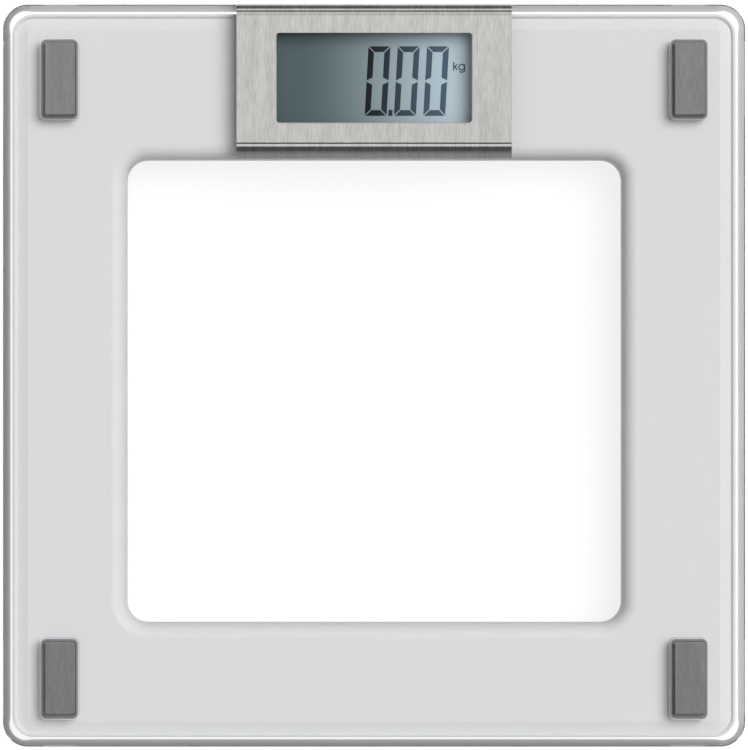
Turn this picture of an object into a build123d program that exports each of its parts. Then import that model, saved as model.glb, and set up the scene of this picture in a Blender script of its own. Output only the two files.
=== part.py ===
from build123d import *

import math
import os

# A glass-topped digital personal scale, in millimetres with +Z up.
# The origin is on the floor under the middle of the platform.
# The display is toward +Y and the person stands facing it from -Y.

os.makedirs("parts", exist_ok=True)

# General
OVERRUN = 1.0
NEAR = 0.01

# Platform: one thick clear plate with a polished round edge
PLATFORM_SIDE = 300.0
PLATFORM_CORNER = 10.0
GLASS_THICKNESS = 6.0
GLASS_EDGE = 2.8
HOLE_BREAK = 0.4
GLASS_GAP = 0.3

# Carrier frame: a moulded ring under the platform, open below
FRAME_LIFT = 12.0
FRAME_HEIGHT = 16.0
FRAME_INSET = 3.8
FRAME_CORNER = 8.5
FRAME_WALL = 2.4
RIM_ROUND = 0.4
RIM_TOP = 1.0
RIM_SLOPE = 0.8
SHOULDER_RUN = 4.4
SHOULDER_DROP = 1.0
LIP_RADIUS = 6.0
SIDE_BAR = 45.7
FRONT_BAR = 45.85
WINDOW_CORNER = 8.5
RIB_THICKNESS = 1.6
RIB_LIFT = 1.0
BOSS_RADIUS = 3.0
BOSS_PITCH = 56.0
REAR_BOSS_STEP = 23.5
REAR_BOSS_ROOM = 2.3

# Screws, all driven from below
SHANK_RADIUS = 1.2
HEAD_RADIUS = 2.4
HEAD_HEIGHT = 1.2
HEAD_EDGE = 0.3
CROSS_WIDTH = 0.7
CROSS_DEPTH = 0.6
PILOT_FIT = 0.05
PASS_FIT = 0.25
SINK_FIT = 0.3
SCREW_BITE = 7.0
SINK_DEPTH = 1.3

# Base cover: a flat ring that closes the frame
COVER_THICKNESS = 2.0
COVER_FIT = 0.2

# Corner plates, set through the glass on studs
PLATE_SIDE_INSET = 22.9
PLATE_REAR_INSET = 30.4
PLATE_FRONT_INSET = 27.6
PLATE_WIDTH = 12.9
PLATE_LENGTH = 30.1
PLATE_CORNER = 1.2
PLATE_BEVEL = 0.45
PLATE_PROUD = 0.7
STUD_RADIUS = 1.5
STUD_PITCH = 14.0
STUD_TAIL = 0.4
NUT_ACROSS = 5.5
NUT_HEIGHT = 2.4

# Seals round the corner plates, with a flange that carries the glass
SEAL_WALL = 0.95
SEAL_FIT = 0.05
SEAL_SINK = 0.6
SEAL_FLANGE = 1.5

# Load cells, one in each corner, and the trays that hold them
CELL_INSET = 27.4
CELL_SIDE = 32.0
CELL_THICKNESS = 2.5
CELL_CLIP = 6.0
TONGUE_WIDTH = 9.0
TONGUE_TIP = 8.0
TONGUE_ROOT = 11.0
TONGUE_SLOT = 1.4
TRAY_SIDE = 37.0
TRAY_CORNER = 3.0
TRAY_FLOOR = 1.4
TRAY_FIT = 0.15
TRAY_OPENING = 26.0
SEAT_OPENING = 28.0
TRAY_SCREW_OFFSET = 15.2
GAUGE_START = 4.0
GAUGE_LENGTH = 5.0
GAUGE_WIDTH = 3.6
GAUGE_HEIGHT = 3.0
GAUGE_ROUND = 0.8
GAUGE_ASIDE = 12.0

# Feet: a stem with a flange that can't fall through the base cover
FOOT_RADIUS = 12.8
FOOT_HOLE_FIT = 0.4
FOOT_DROP = 0.9
FOOT_FLANGE = 2.2
FOOT_FLANGE_HEIGHT = 1.7
FOOT_SLACK = 0.1
FOOT_CHAMFER = 0.8
DOME_RADIUS = 3.5
DOME_GAP = 0.05
PAD_RADIUS = 11.0
PAD_HEIGHT = 3.0
PAD_PROUD = 1.2
PAD_FIT = 0.2
PAD_EDGE = 0.4
PAD_GROOVE = 0.7
PAD_GROOVE_DEPTH = 0.5
PAD_GROOVE_RADII = (4.0, 7.5)

# Sensor wires
WIRE_RADIUS = 1.0
WIRE_RISE = 2.0
WIRE_BEND = 12.0
WIRE_NOTCH_FIT = 0.2

# Display cover: a brushed extrusion wrapped over the rear edge
DISPLAY_WIDTH = 111.0
DISPLAY_PLATE = 1.9
TAPE_THICKNESS = 0.2
TAPE_MARGIN = 1.2
TAPE_VIEW_MARGIN = 1.6
NOSE_RUN = 5.2
NOSE_DROP = 1.55
GROOVE_WIDTH = 1.1
GROOVE_DEPTH = 0.25
FRONT_GROOVE = 6.7
REAR_GROOVES = (2.5, 3.9)
COVER_BEND = 1.4
COVER_WALL = 0.8
COVER_BACK_GAP = 0.2
HOOK_GAP = 0.2
HOOK_REACH = 14.0
HOOK_SCREW_SIDE = 4.5
HOOK_SCREW_INSET = 11.7
HOOK_BOSS_RADIUS = 2.6
HOOK_BOSS_GAP = 0.5

# Display: glass cell, its bars, gasket, holder and contact strips
VIEW_WIDTH = 78.8
VIEW_DEPTH = 36.2
VIEW_FRONT_MARGIN = 14.45
VIEW_CORNER = 1.2
VIEW_CHAMFER = 0.4
LCD_MARGIN_X = 2.1
LCD_MARGIN_Y = 1.4
LCD_THICKNESS = 2.8
GASKET_THICKNESS = 0.4
GASKET_SHY = 0.6
HOLDER_WALL = 0.8
HOLDER_FIT = 0.1
HOLDER_LEDGE = 1.0
HOLDER_REAR_GAP = 0.15
ZEBRA_END = 3.5
ZEBRA_WIDTH = 2.0
ZEBRA_FIT = 0.1
DIGIT_HEIGHT = 28.1
DIGIT_WIDTH = 8.85
DIGIT_STROKE = 2.3
DIGIT_PITCH = 11.85
DIGIT_FIRST_X = 1.39
DIGIT_SINK = 1.0
DIGIT_MITRE = 0.32
DIGIT_SLANT = 3.2
POINT_WIDTH = 1.6
POINT_HEIGHT = 2.4
POINT_X = 6.6
BAR_THICKNESS = 0.12

# Display housing: a tub let into the frame from below
HOUSING_SIDE_ROOM = 4.3
HOUSING_FRONT_ROOM = 3.35
HOUSING_REAR_GAP = 1.5
HOUSING_WALL = 1.8
HOUSING_REAR_WALL = 1.6
HOUSING_FLOOR = 2.0
HOUSING_CORNER = 1.5
HOUSING_FIT = 0.3
EAR_SIDE = 8.0
EAR_HEIGHT = 3.0
EAR_WIRE_ROOM = 2.0
EAR_REAR_INSET = 8.3
POST_RADIUS = 2.0
WIRE_HOLE_FIT = 0.3

# Circuit board and what it carries
BOARD_FIT = 0.4
BOARD_THICKNESS = 1.6
BOARD_GAP = 1.4
BOARD_SCREW_SIDE = 1.7
BOARD_SCREW_ROOM = 0.5
BOARD_SCREW_REAR = 10.3
BOARD_HEAD_RADIUS = 1.8
BOARD_SHANK_RADIUS = 0.9
BOARD_SCREW_BITE = 4.5
CHIP_RADIUS = 7.0
CHIP_HEIGHT = 1.5
CHIP_ROUND = 1.0
CHIP_BACK = 19.6
CRYSTAL_LENGTH = 11.0
CRYSTAL_WIDTH = 4.6
CRYSTAL_HEIGHT = 3.6
CRYSTAL_ROUND = 0.5
CRYSTAL_SIDE = 31.7
CRYSTAL_BACK = 33.6
CAPACITOR_RADIUS = 2.5
CAPACITOR_HEIGHT = 5.0
CAPACITOR_ROUND = 0.4
CAPACITOR_SIDE = (33.7, 11.7)
CAPACITOR_BACK = (7.6, 31.6)
HEADER_LENGTH = 4.0
HEADER_WIDTH = 2.6
HEADER_HEIGHT = 2.4

# Coin cell, 24.5 by 3.0 mm, its contacts and its hinged door
COIN_RADIUS = 12.25
COIN_THICKNESS = 3.0
COIN_EDGE = 0.4
COIN_SIDE = 20.7
COIN_BACK = 21.6
COIN_FIT = 0.5
COIN_DOOR_GAP = 0.1
CONTACT_THICKNESS = 0.3
CONTACT_WIDTH = 5.0
CONTACT_FIT = 0.2
CONTACT_REACH = 16.0
SIDE_CONTACT_GAP = 0.3
SIDE_CONTACT_RISE = 0.5
POCKET_ROOF = 1.2
POCKET_SIDE = 6.25
DOOR_WIDTH = 33.6
DOOR_THICKNESS = 1.8
DOOR_MARGIN = 1.75
DOOR_FIT = 0.2
DOOR_SWING_FIT = 0.5
DOOR_ROOF_GAP = 0.2
BARREL_RADIUS = 1.5
BARREL_LENGTH = 20.0
BARREL_FIT = 0.15
HINGE_WALL = 1.2
HINGE_BACK = 1.4
HINGE_STEP = 3.0
PIN_RADIUS = 1.0
PIN_LENGTH = 1.8
PIN_FIT = 0.06
SCOOP_RADIUS = 5.0
SCOOP_DEPTH = 1.2
GRIP_COUNT = 5
GRIP_PITCH = 2.0
GRIP_LENGTH = 12.0
GRIP_WIDTH = 0.8
GRIP_DEPTH = 0.4

# Unit switch
SWITCH_SIDE = 21.7
SWITCH_BACK = 21.6
SWITCH_LENGTH = 12.0
SWITCH_WIDTH = 5.4
SWITCH_HEIGHT = 4.2
SLIDER_SIDE = 2.4
SLIDER_TRAVEL = 4.0
SLIDER_END_GAP = 0.5
SLIDER_SIDE_GAP = 0.1
SLIDER_SINK = 0.7
SLIDER_HOLD = 1.0
SLOT_DEPTH = 1.4
SLOT_END = 1.3
SLOT_SIDE = 0.5

# Heights worked out from the floor up
COVER_TOP = FRAME_LIFT + COVER_THICKNESS
FRAME_TOP = FRAME_LIFT + FRAME_HEIGHT
SKIN_LOW = FRAME_TOP - FRAME_WALL
FLANGE_LOW = COVER_TOP + FOOT_DROP
FLANGE_TOP = FLANGE_LOW + FOOT_FLANGE_HEIGHT
TRAY_LOW = FLANGE_TOP + FOOT_SLACK
CELL_LOW = TRAY_LOW + TRAY_FLOOR
CELL_TOP = CELL_LOW + CELL_THICKNESS
WIRE_Z = CELL_TOP + WIRE_RISE
GLASS_LOW = FRAME_TOP + GLASS_GAP
GLASS_TOP = GLASS_LOW + GLASS_THICKNESS
TAPE_TOP = GLASS_TOP + TAPE_THICKNESS
DISPLAY_TOP = TAPE_TOP + DISPLAY_PLATE
HOOK_TOP = FRAME_LIFT - HOOK_GAP
HOOK_LOW = HOOK_TOP - COVER_WALL
FLOOR_TOP = FRAME_LIFT + HOUSING_FLOOR
DOOR_TOP = FRAME_LIFT + DOOR_THICKNESS
COIN_LOW = DOOR_TOP + COIN_DOOR_GAP
COIN_TOP = COIN_LOW + COIN_THICKNESS
CONTACT_TOP = COIN_TOP + CONTACT_THICKNESS
POCKET_TOP = CONTACT_TOP + CONTACT_FIT
BLOCK_TOP = POCKET_TOP + POCKET_ROOF
BOARD_LOW = BLOCK_TOP + BOARD_GAP
BOARD_TOP = BOARD_LOW + BOARD_THICKNESS
LCD_TOP = GLASS_LOW - GASKET_THICKNESS
LCD_LOW = LCD_TOP - LCD_THICKNESS
HINGE_Z = FRAME_LIFT + BARREL_RADIUS
DOOR_ROOF = DOOR_TOP + DOOR_ROOF_GAP

# Places worked out in plan, from the rear edge forward
FRAME_HALF = PLATFORM_SIDE / 2 - FRAME_INSET
DISPLAY_REAR = PLATFORM_SIDE / 2
HOUSING_REAR = FRAME_HALF - FRAME_WALL - HOUSING_REAR_GAP
INNER_REAR = HOUSING_REAR - HOUSING_REAR_WALL
HOLDER_RIM = HOLDER_WALL + HOLDER_FIT
LCD_WIDTH = VIEW_WIDTH + 2 * LCD_MARGIN_X
LCD_DEPTH = VIEW_DEPTH + 2 * LCD_MARGIN_Y
LCD_REAR = INNER_REAR - HOLDER_REAR_GAP - HOLDER_RIM
LCD_FRONT = LCD_REAR - LCD_DEPTH
VIEW_CENTRE_Y = (LCD_FRONT + LCD_REAR) / 2
DIGIT_CENTRE_Y = VIEW_CENTRE_Y - DIGIT_SINK
DISPLAY_FRONT = VIEW_CENTRE_Y - VIEW_DEPTH / 2 - VIEW_FRONT_MARGIN
HOUSING_FRONT = LCD_FRONT - HOLDER_RIM - HOUSING_FRONT_ROOM - HOUSING_WALL
HOUSING_HALF = LCD_WIDTH / 2 + HOLDER_RIM + HOUSING_SIDE_ROOM + HOUSING_WALL
INNER_HALF = HOUSING_HALF - HOUSING_WALL
INNER_FRONT = HOUSING_FRONT + HOUSING_WALL
BOARD_HALF = INNER_HALF - BOARD_FIT
BOARD_FRONT = INNER_FRONT + BOARD_FIT
BOARD_REAR = INNER_REAR - BOARD_FIT
EAR_X = HOUSING_HALF + EAR_SIDE / 2
HOOK_SCREW_X = HOUSING_HALF - HOOK_SCREW_SIDE
HOOK_SCREW_Y = DISPLAY_REAR - HOOK_SCREW_INSET

# Places of the frame's window, bars and bosses
WINDOW_X = FRAME_HALF - SIDE_BAR
WINDOW_FRONT = FRONT_BAR - FRAME_HALF
WINDOW_REAR = DISPLAY_FRONT
SIDE_BAR_X = FRAME_HALF - SIDE_BAR / 2
FRONT_BAR_Y = FRONT_BAR / 2 - FRAME_HALF
REAR_BOSS_X = EAR_X + REAR_BOSS_STEP

# Places of the corner plates, load cells and wires
PLATE_X = PLATFORM_SIDE / 2 - PLATE_SIDE_INSET
PLATE_REAR_Y = PLATFORM_SIDE / 2 - PLATE_REAR_INSET
PLATE_FRONT_Y = PLATFORM_SIDE / 2 - PLATE_FRONT_INSET
HOLE_WIDTH = PLATE_WIDTH + 2 * (SEAL_WALL + 2 * SEAL_FIT)
HOLE_LENGTH = PLATE_LENGTH + 2 * (SEAL_WALL + 2 * SEAL_FIT)
HOLE_CORNER = PLATE_CORNER + SEAL_WALL + 2 * SEAL_FIT
CELL_PLACE = PLATFORM_SIDE / 2 - CELL_INSET
WIRE_PLACE = CELL_PLACE - GAUGE_ASIDE
FRONT_WIRE_Y = BOARD_FRONT + HEADER_LENGTH / 2
REAR_BOSS_Y = WIRE_PLACE + WIRE_RADIUS + BOSS_RADIUS + REAR_BOSS_ROOM
FRONT_EAR_Y = WIRE_PLACE - WIRE_RADIUS - EAR_SIDE / 2 - EAR_WIRE_ROOM

# Places of the coin cell, its door, the unit switch and the chip between them
COIN_X = COIN_SIDE - INNER_HALF
COIN_Y = INNER_FRONT + COIN_BACK
POCKET_RADIUS = COIN_RADIUS + COIN_FIT
HINGE_Y = COIN_Y + POCKET_RADIUS + HINGE_WALL + BARREL_RADIUS + BARREL_FIT
DOOR_FRONT = COIN_Y - POCKET_RADIUS - DOOR_MARGIN
DOOR_REAR = HINGE_Y - HINGE_STEP
SWITCH_X = INNER_HALF - SWITCH_SIDE
SWITCH_Y = INNER_FRONT + SWITCH_BACK
CHIP_X = (COIN_X + CONTACT_REACH + SWITCH_X - SWITCH_LENGTH / 2) / 2

CORNERS = {
    "front_left": (-1, -1),
    "front_right": (1, -1),
    "rear_left": (-1, 1),
    "rear_right": (1, 1),
}
SIDES = (-1, 1)


def block(x_low, x_high, y_low, y_high, z_low, z_high):
    """An upright box between two opposite corners."""
    size = (x_high - x_low, y_high - y_low, z_high - z_low)
    middle = ((x_low + x_high) / 2, (y_low + y_high) / 2, (z_low + z_high) / 2)
    return Pos(*middle) * Box(*size)


def disc(x, y, radius, z_low, z_high):
    """An upright cylinder."""
    return Pos(x, y, (z_low + z_high) / 2) * Cylinder(radius, z_high - z_low)


def slab(x, y, width, depth, corner, z_low, z_high):
    """A flat plate with rounded corners, centred on a point in plan."""
    outline = Pos(x, y, z_low) * RectangleRounded(width, depth, corner)
    return extrude(outline, z_high - z_low, dir=(0, 0, 1))


def top_face(solid):
    """The highest flat face."""
    return solid.faces().filter_by(Axis.Z).sort_by(Axis.Z)[-1]


def bottom_face(solid):
    """The lowest flat face."""
    return solid.faces().filter_by(Axis.Z).sort_by(Axis.Z)[0]


def long_edges(solid, y, z):
    """The edges along X that pass through a point in the side view."""
    found = solid.edges().filter_by(Axis.X)
    return [e for e in found if abs(e.center().Y - y) < NEAR and abs(e.center().Z - z) < NEAR]


def screw(x, y, seat, bite, shank=SHANK_RADIUS, head=HEAD_RADIUS):
    """A pan-head screw driven from below, its head bearing on the seat height."""
    body = disc(x, y, head, seat - HEAD_HEIGHT, seat).solid()
    body = body.chamfer(HEAD_EDGE, None, bottom_face(body).edges())
    body = body + disc(x, y, shank, seat, seat + bite)
    reach = head - HEAD_EDGE - CROSS_WIDTH
    low = seat - HEAD_HEIGHT
    for across, along in ((reach, CROSS_WIDTH / 2), (CROSS_WIDTH / 2, reach)):
        body = body - block(x - across, x + across, y - along, y + along, low, low + CROSS_DEPTH)
    return body


def placed(piece, corner):
    """A piece made about a load cell's centre, set in its corner of the frame."""
    side_x, side_y = CORNERS[corner]
    turn = -90 if side_y > 0 else 0
    left = Pos(-CELL_PLACE, side_y * CELL_PLACE, 0) * Rot(0, 0, turn) * piece
    return mirror(left, Plane.YZ) if side_x > 0 else left


def plate_place(corner):
    """Where the corner plate stands in plan."""
    side_x, side_y = CORNERS[corner]
    return side_x * PLATE_X, PLATE_REAR_Y if side_y > 0 else -PLATE_FRONT_Y


def stud_places(corner):
    """The two studs of a corner plate, in plan."""
    x, y = plate_place(corner)
    return [(x, y - STUD_PITCH / 2), (x, y + STUD_PITCH / 2)]


def base_screw_places():
    """The bosses that the base cover is screwed to, in plan."""
    steps = (-BOSS_PITCH, 0, BOSS_PITCH)
    places = [(side * SIDE_BAR_X, y) for side in SIDES for y in steps]
    places += [(x, FRONT_BAR_Y) for x in steps]
    return places + [(side * REAR_BOSS_X, REAR_BOSS_Y) for side in SIDES]


def ear_places():
    """The four ears of the display housing, in plan."""
    rows = (FRONT_EAR_Y, HOUSING_REAR - EAR_REAR_INSET)
    return [(side * EAR_X, y) for side in SIDES for y in rows]


def save(name, *pieces):
    """Write one named piece, or one group of like pieces."""
    solids = [solid for piece in pieces for solid in piece.solids()]
    shape = solids[0] if len(solids) == 1 else Compound(solids)
    shape.label = name
    export_step(shape, f"parts/{name}.step")


# Carrier frame


def bar_ring(step, z_low, z_high):
    """A square ring whose walls lie a step inside the frame's own."""
    side = 2 * (FRAME_HALF - step)
    ring = slab(0, 0, side, side, FRAME_CORNER - step, z_low, z_high)
    window_y = (WINDOW_FRONT + WINDOW_REAR) / 2
    width = 2 * (WINDOW_X + step)
    depth = WINDOW_REAR - WINDOW_FRONT + 2 * step
    corner = WINDOW_CORNER + step
    window = slab(0, window_y, width, depth, corner, z_low - OVERRUN, z_high + OVERRUN)
    return (ring - window).solid()


def rolled(ring, step):
    """The ring with the window's rolled lip, a step inside its skin."""
    return ring.fillet(LIP_RADIUS - step, top_face(ring).inner_wires()[0].edges())


def square_layer(half, z):
    """A level outline of the frame at a distance from its middle, rounded to match."""
    corner = FRAME_CORNER - (FRAME_HALF - half)
    return Pos(0, 0, z) * RectangleRounded(2 * half, 2 * half, corner)


def rim_valley():
    """The valley where the shoulder slopes down to meet the frame's raised rim."""
    rim_inside = FRAME_HALF - RIM_TOP
    foot = rim_inside - RIM_SLOPE
    crest = foot - SHOULDER_RUN
    low = FRAME_TOP - SHOULDER_DROP
    well = loft([square_layer(foot, low), square_layer(rim_inside, FRAME_TOP)], ruled=True)
    well = well + extrude(square_layer(rim_inside, FRAME_TOP), OVERRUN, dir=(0, 0, 1))
    stand = loft([square_layer(foot, low), square_layer(crest, FRAME_TOP)], ruled=True)
    return well - (stand + extrude(square_layer(crest, FRAME_TOP), OVERRUN, dir=(0, 0, 1)))


def wire_notch(along_x, place, z_low):
    """A slot, open below, that a sensor wire is laid in; it crosses the whole frame."""
    half = WIRE_RADIUS + WIRE_NOTCH_FIT
    reach = FRAME_HALF
    z_high = WIRE_Z + half
    if along_x:
        return block(-reach, reach, place - half, place + half, z_low, z_high)
    return block(place - half, place + half, -reach, reach, z_low, z_high)


def frame_ribs():
    """The ribs that join the bosses to both walls, notched where the wires cross them."""
    low = COVER_TOP + RIB_LIFT
    half = RIB_THICKNESS / 2
    steps = (-BOSS_PITCH, 0, BOSS_PITCH)
    ribs = [block(x - half, x + half, -FRAME_HALF, WINDOW_FRONT, low, FRAME_TOP) for x in steps]
    for side in SIDES:
        inner, outer = sorted((side * WINDOW_X, side * FRAME_HALF))
        ribs += [block(inner, outer, y - half, y + half, low, FRAME_TOP) for y in steps]
        for x, bottom in ((side * REAR_BOSS_X, low), (side * EAR_X, FLOOR_TOP + EAR_HEIGHT)):
            ribs.append(block(x - half, x + half, WINDOW_REAR, FRAME_HALF, bottom, FRAME_TOP))
    notches = [wire_notch(False, side * WIRE_PLACE, low - OVERRUN) for side in SIDES]
    notches += [wire_notch(True, y, low - OVERRUN) for y in (FRONT_WIRE_Y, WIRE_PLACE)]
    return [rib - notches for rib in ribs]


def cell_seat():
    """The square collar that a load cell's tray is screwed to, about the cell's centre."""
    collar = slab(0, 0, TRAY_SIDE, TRAY_SIDE, TRAY_CORNER, CELL_TOP, FRAME_TOP)
    opening = block(*(-SEAT_OPENING / 2, SEAT_OPENING / 2) * 2, CELL_TOP - OVERRUN, FRAME_TOP)
    half = WIRE_RADIUS + WIRE_NOTCH_FIT
    notch = block(
        GAUGE_ASIDE - half, GAUGE_ASIDE + half, 0, TRAY_SIDE, CELL_TOP - OVERRUN, WIRE_Z + half
    )
    return collar - opening - notch


def tray_screw_places():
    """The two screws of a tray, about the cell's centre."""
    return [(TRAY_SCREW_OFFSET, -TRAY_SCREW_OFFSET), (-TRAY_SCREW_OFFSET, TRAY_SCREW_OFFSET)]


def carrier_frame():
    """The moulded ring: a hollow shell with ribs, bosses and load cell seats inside."""
    shell = rolled(bar_ring(0, FRAME_LIFT, FRAME_TOP), 0)
    shell = shell.fillet(RIM_ROUND, top_face(shell).outer_wire().edges()) - rim_valley()
    hollow = rolled(bar_ring(FRAME_WALL, FRAME_LIFT - OVERRUN, SKIN_LOW), FRAME_WALL)
    standing = frame_ribs()
    standing += [disc(x, y, BOSS_RADIUS, COVER_TOP, FRAME_TOP) for x, y in base_screw_places()]
    ear_top = FLOOR_TOP + EAR_HEIGHT
    standing += [disc(x, y, BOSS_RADIUS, ear_top, FRAME_TOP) for x, y in ear_places()]
    standing += [placed(cell_seat(), corner) for corner in CORNERS]
    frame = shell - (hollow - standing)

    pilot = SHANK_RADIUS + PILOT_FIT
    base_seat = FRAME_LIFT + SINK_DEPTH
    ear_seat = FLOOR_TOP + SINK_DEPTH
    holes = [disc(x, y, pilot, FRAME_LIFT, base_seat + SCREW_BITE) for x, y in base_screw_places()]
    holes += [disc(x, y, pilot, FRAME_LIFT, ear_seat + SCREW_BITE) for x, y in ear_places()]
    tray_pilots = [disc(x, y, pilot, TRAY_LOW, TRAY_LOW + SCREW_BITE) for x, y in tray_screw_places()]
    for corner in CORNERS:
        holes += [placed(hole, corner) for hole in tray_pilots]
        for x, y in stud_places(corner):
            holes.append(disc(x, y, STUD_RADIUS + PASS_FIT, SKIN_LOW - OVERRUN, FRAME_TOP + OVERRUN))
    half = HOUSING_HALF + HOUSING_FIT
    front = HOUSING_FRONT - HOUSING_FIT
    rear = FRAME_HALF - FRAME_WALL
    holes.append(block(-half, half, front, rear, FRAME_LIFT, FRAME_TOP + OVERRUN))
    return frame - holes


def base_cover():
    """The flat ring that closes the frame, open for the feet and the display housing."""
    cover = bar_ring(FRAME_WALL + COVER_FIT, FRAME_LIFT, COVER_TOP)
    low, high = FRAME_LIFT - OVERRUN, COVER_TOP + OVERRUN
    half = HOUSING_HALF + HOUSING_FIT
    cuts = [block(-half, half, HOUSING_FRONT - HOUSING_FIT, FRAME_HALF, low, high)]
    foot_hole = disc(0, 0, FOOT_RADIUS + FOOT_HOLE_FIT, low, high)
    cuts += [placed(foot_hole, corner) for corner in CORNERS]
    for x, y in base_screw_places():
        cuts.append(disc(x, y, SHANK_RADIUS + PASS_FIT, low, high))
        cuts.append(disc(x, y, HEAD_RADIUS + SINK_FIT, low, FRAME_LIFT + SINK_DEPTH))
    return cover - cuts


# Platform glass, corner plates and their seals


def platform_glass():
    """The clear plate with its polished edge, four plate holes and a notch for the display cover."""
    glass = slab(0, 0, PLATFORM_SIDE, PLATFORM_SIDE, PLATFORM_CORNER, GLASS_LOW, GLASS_TOP).solid()
    rims = list(top_face(glass).edges()) + list(bottom_face(glass).edges())
    glass = glass.fillet(GLASS_EDGE, rims)
    for corner in CORNERS:
        x, y = plate_place(corner)
        low, high = GLASS_LOW - OVERRUN, GLASS_TOP + OVERRUN
        glass = glass - slab(x, y, HOLE_WIDTH, HOLE_LENGTH, HOLE_CORNER, low, high)
    glass = glass.solid()
    breaks = [edge for wire in top_face(glass).inner_wires() for edge in wire.edges()]
    glass = glass.chamfer(HOLE_BREAK, None, breaks)
    half = DISPLAY_WIDTH / 2 + COVER_BACK_GAP
    front = DISPLAY_REAR - COVER_WALL - COVER_BACK_GAP
    low, high = GLASS_LOW - OVERRUN, GLASS_TOP + OVERRUN
    return glass - block(-half, half, front, DISPLAY_REAR + OVERRUN, low, high)


def corner_plate(corner):
    """A bevelled metal plate on two studs, standing on the frame through the glass."""
    x, y = plate_place(corner)
    top = GLASS_TOP + PLATE_PROUD
    plate = slab(x, y, PLATE_WIDTH, PLATE_LENGTH, PLATE_CORNER, FRAME_TOP, top).solid()
    plate = plate.chamfer(PLATE_BEVEL, None, top_face(plate).edges())
    low = SKIN_LOW - NUT_HEIGHT - STUD_TAIL
    return plate + [disc(sx, sy, STUD_RADIUS, low, FRAME_TOP) for sx, sy in stud_places(corner)]


def plate_seal(corner):
    """The dark grommet between a corner plate and the glass."""
    x, y = plate_place(corner)
    fit = 2 * SEAL_FIT
    sleeve_top = GLASS_TOP - SEAL_SINK
    width, length = HOLE_WIDTH - fit, HOLE_LENGTH - fit
    sleeve = slab(x, y, width, length, HOLE_CORNER - SEAL_FIT, FRAME_TOP, sleeve_top)
    spread = 2 * SEAL_FLANGE
    flange = slab(
        x, y, HOLE_WIDTH + spread, HOLE_LENGTH + spread, HOLE_CORNER + SEAL_FLANGE, FRAME_TOP, GLASS_LOW
    )
    low, high = FRAME_TOP - OVERRUN, GLASS_TOP + OVERRUN
    bore = slab(x, y, PLATE_WIDTH + fit, PLATE_LENGTH + fit, PLATE_CORNER + SEAL_FIT, low, high)
    return sleeve + flange - bore


def plate_nuts():
    """The hexagon nuts on the studs, drawn up against the frame's skin."""
    nuts = []
    radius = NUT_ACROSS / math.sqrt(3)
    low = SKIN_LOW - NUT_HEIGHT
    for corner in CORNERS:
        for x, y in stud_places(corner):
            nut = extrude(Pos(x, y, low) * RegularPolygon(radius, 6), NUT_HEIGHT, dir=(0, 0, 1))
            nuts.append(nut - disc(x, y, STUD_RADIUS + PILOT_FIT, low - OVERRUN, FRAME_TOP))
    return nuts


# Load cells, trays, gauges and feet, each made about the cell's centre


def clipped_square(half, clip):
    """A square outline with its corners cut off."""
    short = half - clip
    turns = ((1, 1), (-1, 1), (-1, -1), (1, -1))
    points = []
    for index, (sx, sy) in enumerate(turns):
        pair = [(sx * half, sy * short), (sx * short, sy * half)]
        points += pair if index % 2 == 0 else pair[::-1]
    return make_face(Polyline(*points, close=True))


def load_cell():
    """A sprung steel plate with a slotted tongue that the foot presses on."""
    plate = extrude(
        Pos(0, 0, CELL_LOW) * clipped_square(CELL_SIDE / 2, CELL_CLIP), CELL_THICKNESS, dir=(0, 0, 1)
    )
    inner, outer = TONGUE_WIDTH / 2, TONGUE_WIDTH / 2 + TONGUE_SLOT
    tip = -TONGUE_TIP - TONGUE_SLOT
    low, high = CELL_LOW - OVERRUN, CELL_TOP + OVERRUN
    plate = plate - block(-outer, outer, tip, -TONGUE_TIP, low, high)
    for side in SIDES:
        near, far = sorted((side * inner, side * outer))
        plate = plate - block(near, far, tip, TONGUE_ROOT, low, high)
    return plate


def cell_tray():
    """The moulded tray that holds a load cell up against the frame."""
    tray = slab(0, 0, TRAY_SIDE, TRAY_SIDE, TRAY_CORNER, TRAY_LOW, CELL_TOP)
    outline = clipped_square(CELL_SIDE / 2 + TRAY_FIT, CELL_CLIP)
    pocket = extrude(Pos(0, 0, CELL_LOW) * outline, CELL_THICKNESS + OVERRUN, dir=(0, 0, 1))
    half = TRAY_OPENING / 2
    opening = block(-half, half, -half, half, TRAY_LOW - OVERRUN, CELL_TOP)
    tray = tray - pocket - opening
    for x, y in tray_screw_places():
        tray = tray - disc(x, y, SHANK_RADIUS + PASS_FIT, TRAY_LOW - OVERRUN, CELL_TOP + OVERRUN)
    return tray


def strain_gauge():
    """The sealing compound over a cell's gauge, where its wire comes out."""
    half = GAUGE_WIDTH / 2
    end = GAUGE_START + GAUGE_LENGTH
    low, high = GAUGE_ASIDE - half, GAUGE_ASIDE + half
    blob = block(low, high, GAUGE_START, end, CELL_TOP, CELL_TOP + GAUGE_HEIGHT).solid()
    return blob.fillet(GAUGE_ROUND, top_face(blob).edges())


def foot():
    """A moulded foot: stem, retaining flange and the dome that presses on the cell."""
    stem = disc(0, 0, FOOT_RADIUS, PAD_PROUD, FLANGE_LOW).solid()
    stem = stem.chamfer(FOOT_CHAMFER, None, bottom_face(stem).edges())
    flange = disc(0, 0, FOOT_RADIUS + FOOT_FLANGE, FLANGE_LOW, FLANGE_TOP)
    dome_top = CELL_LOW - DOME_GAP
    dome = disc(0, 0, DOME_RADIUS, FLANGE_TOP, dome_top).solid()
    dome = dome.fillet((dome_top - FLANGE_TOP) / 2, top_face(dome).edges())
    pocket = disc(0, 0, PAD_RADIUS + PAD_FIT, PAD_PROUD - OVERRUN, PAD_HEIGHT)
    return stem + flange + dome - pocket


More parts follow.
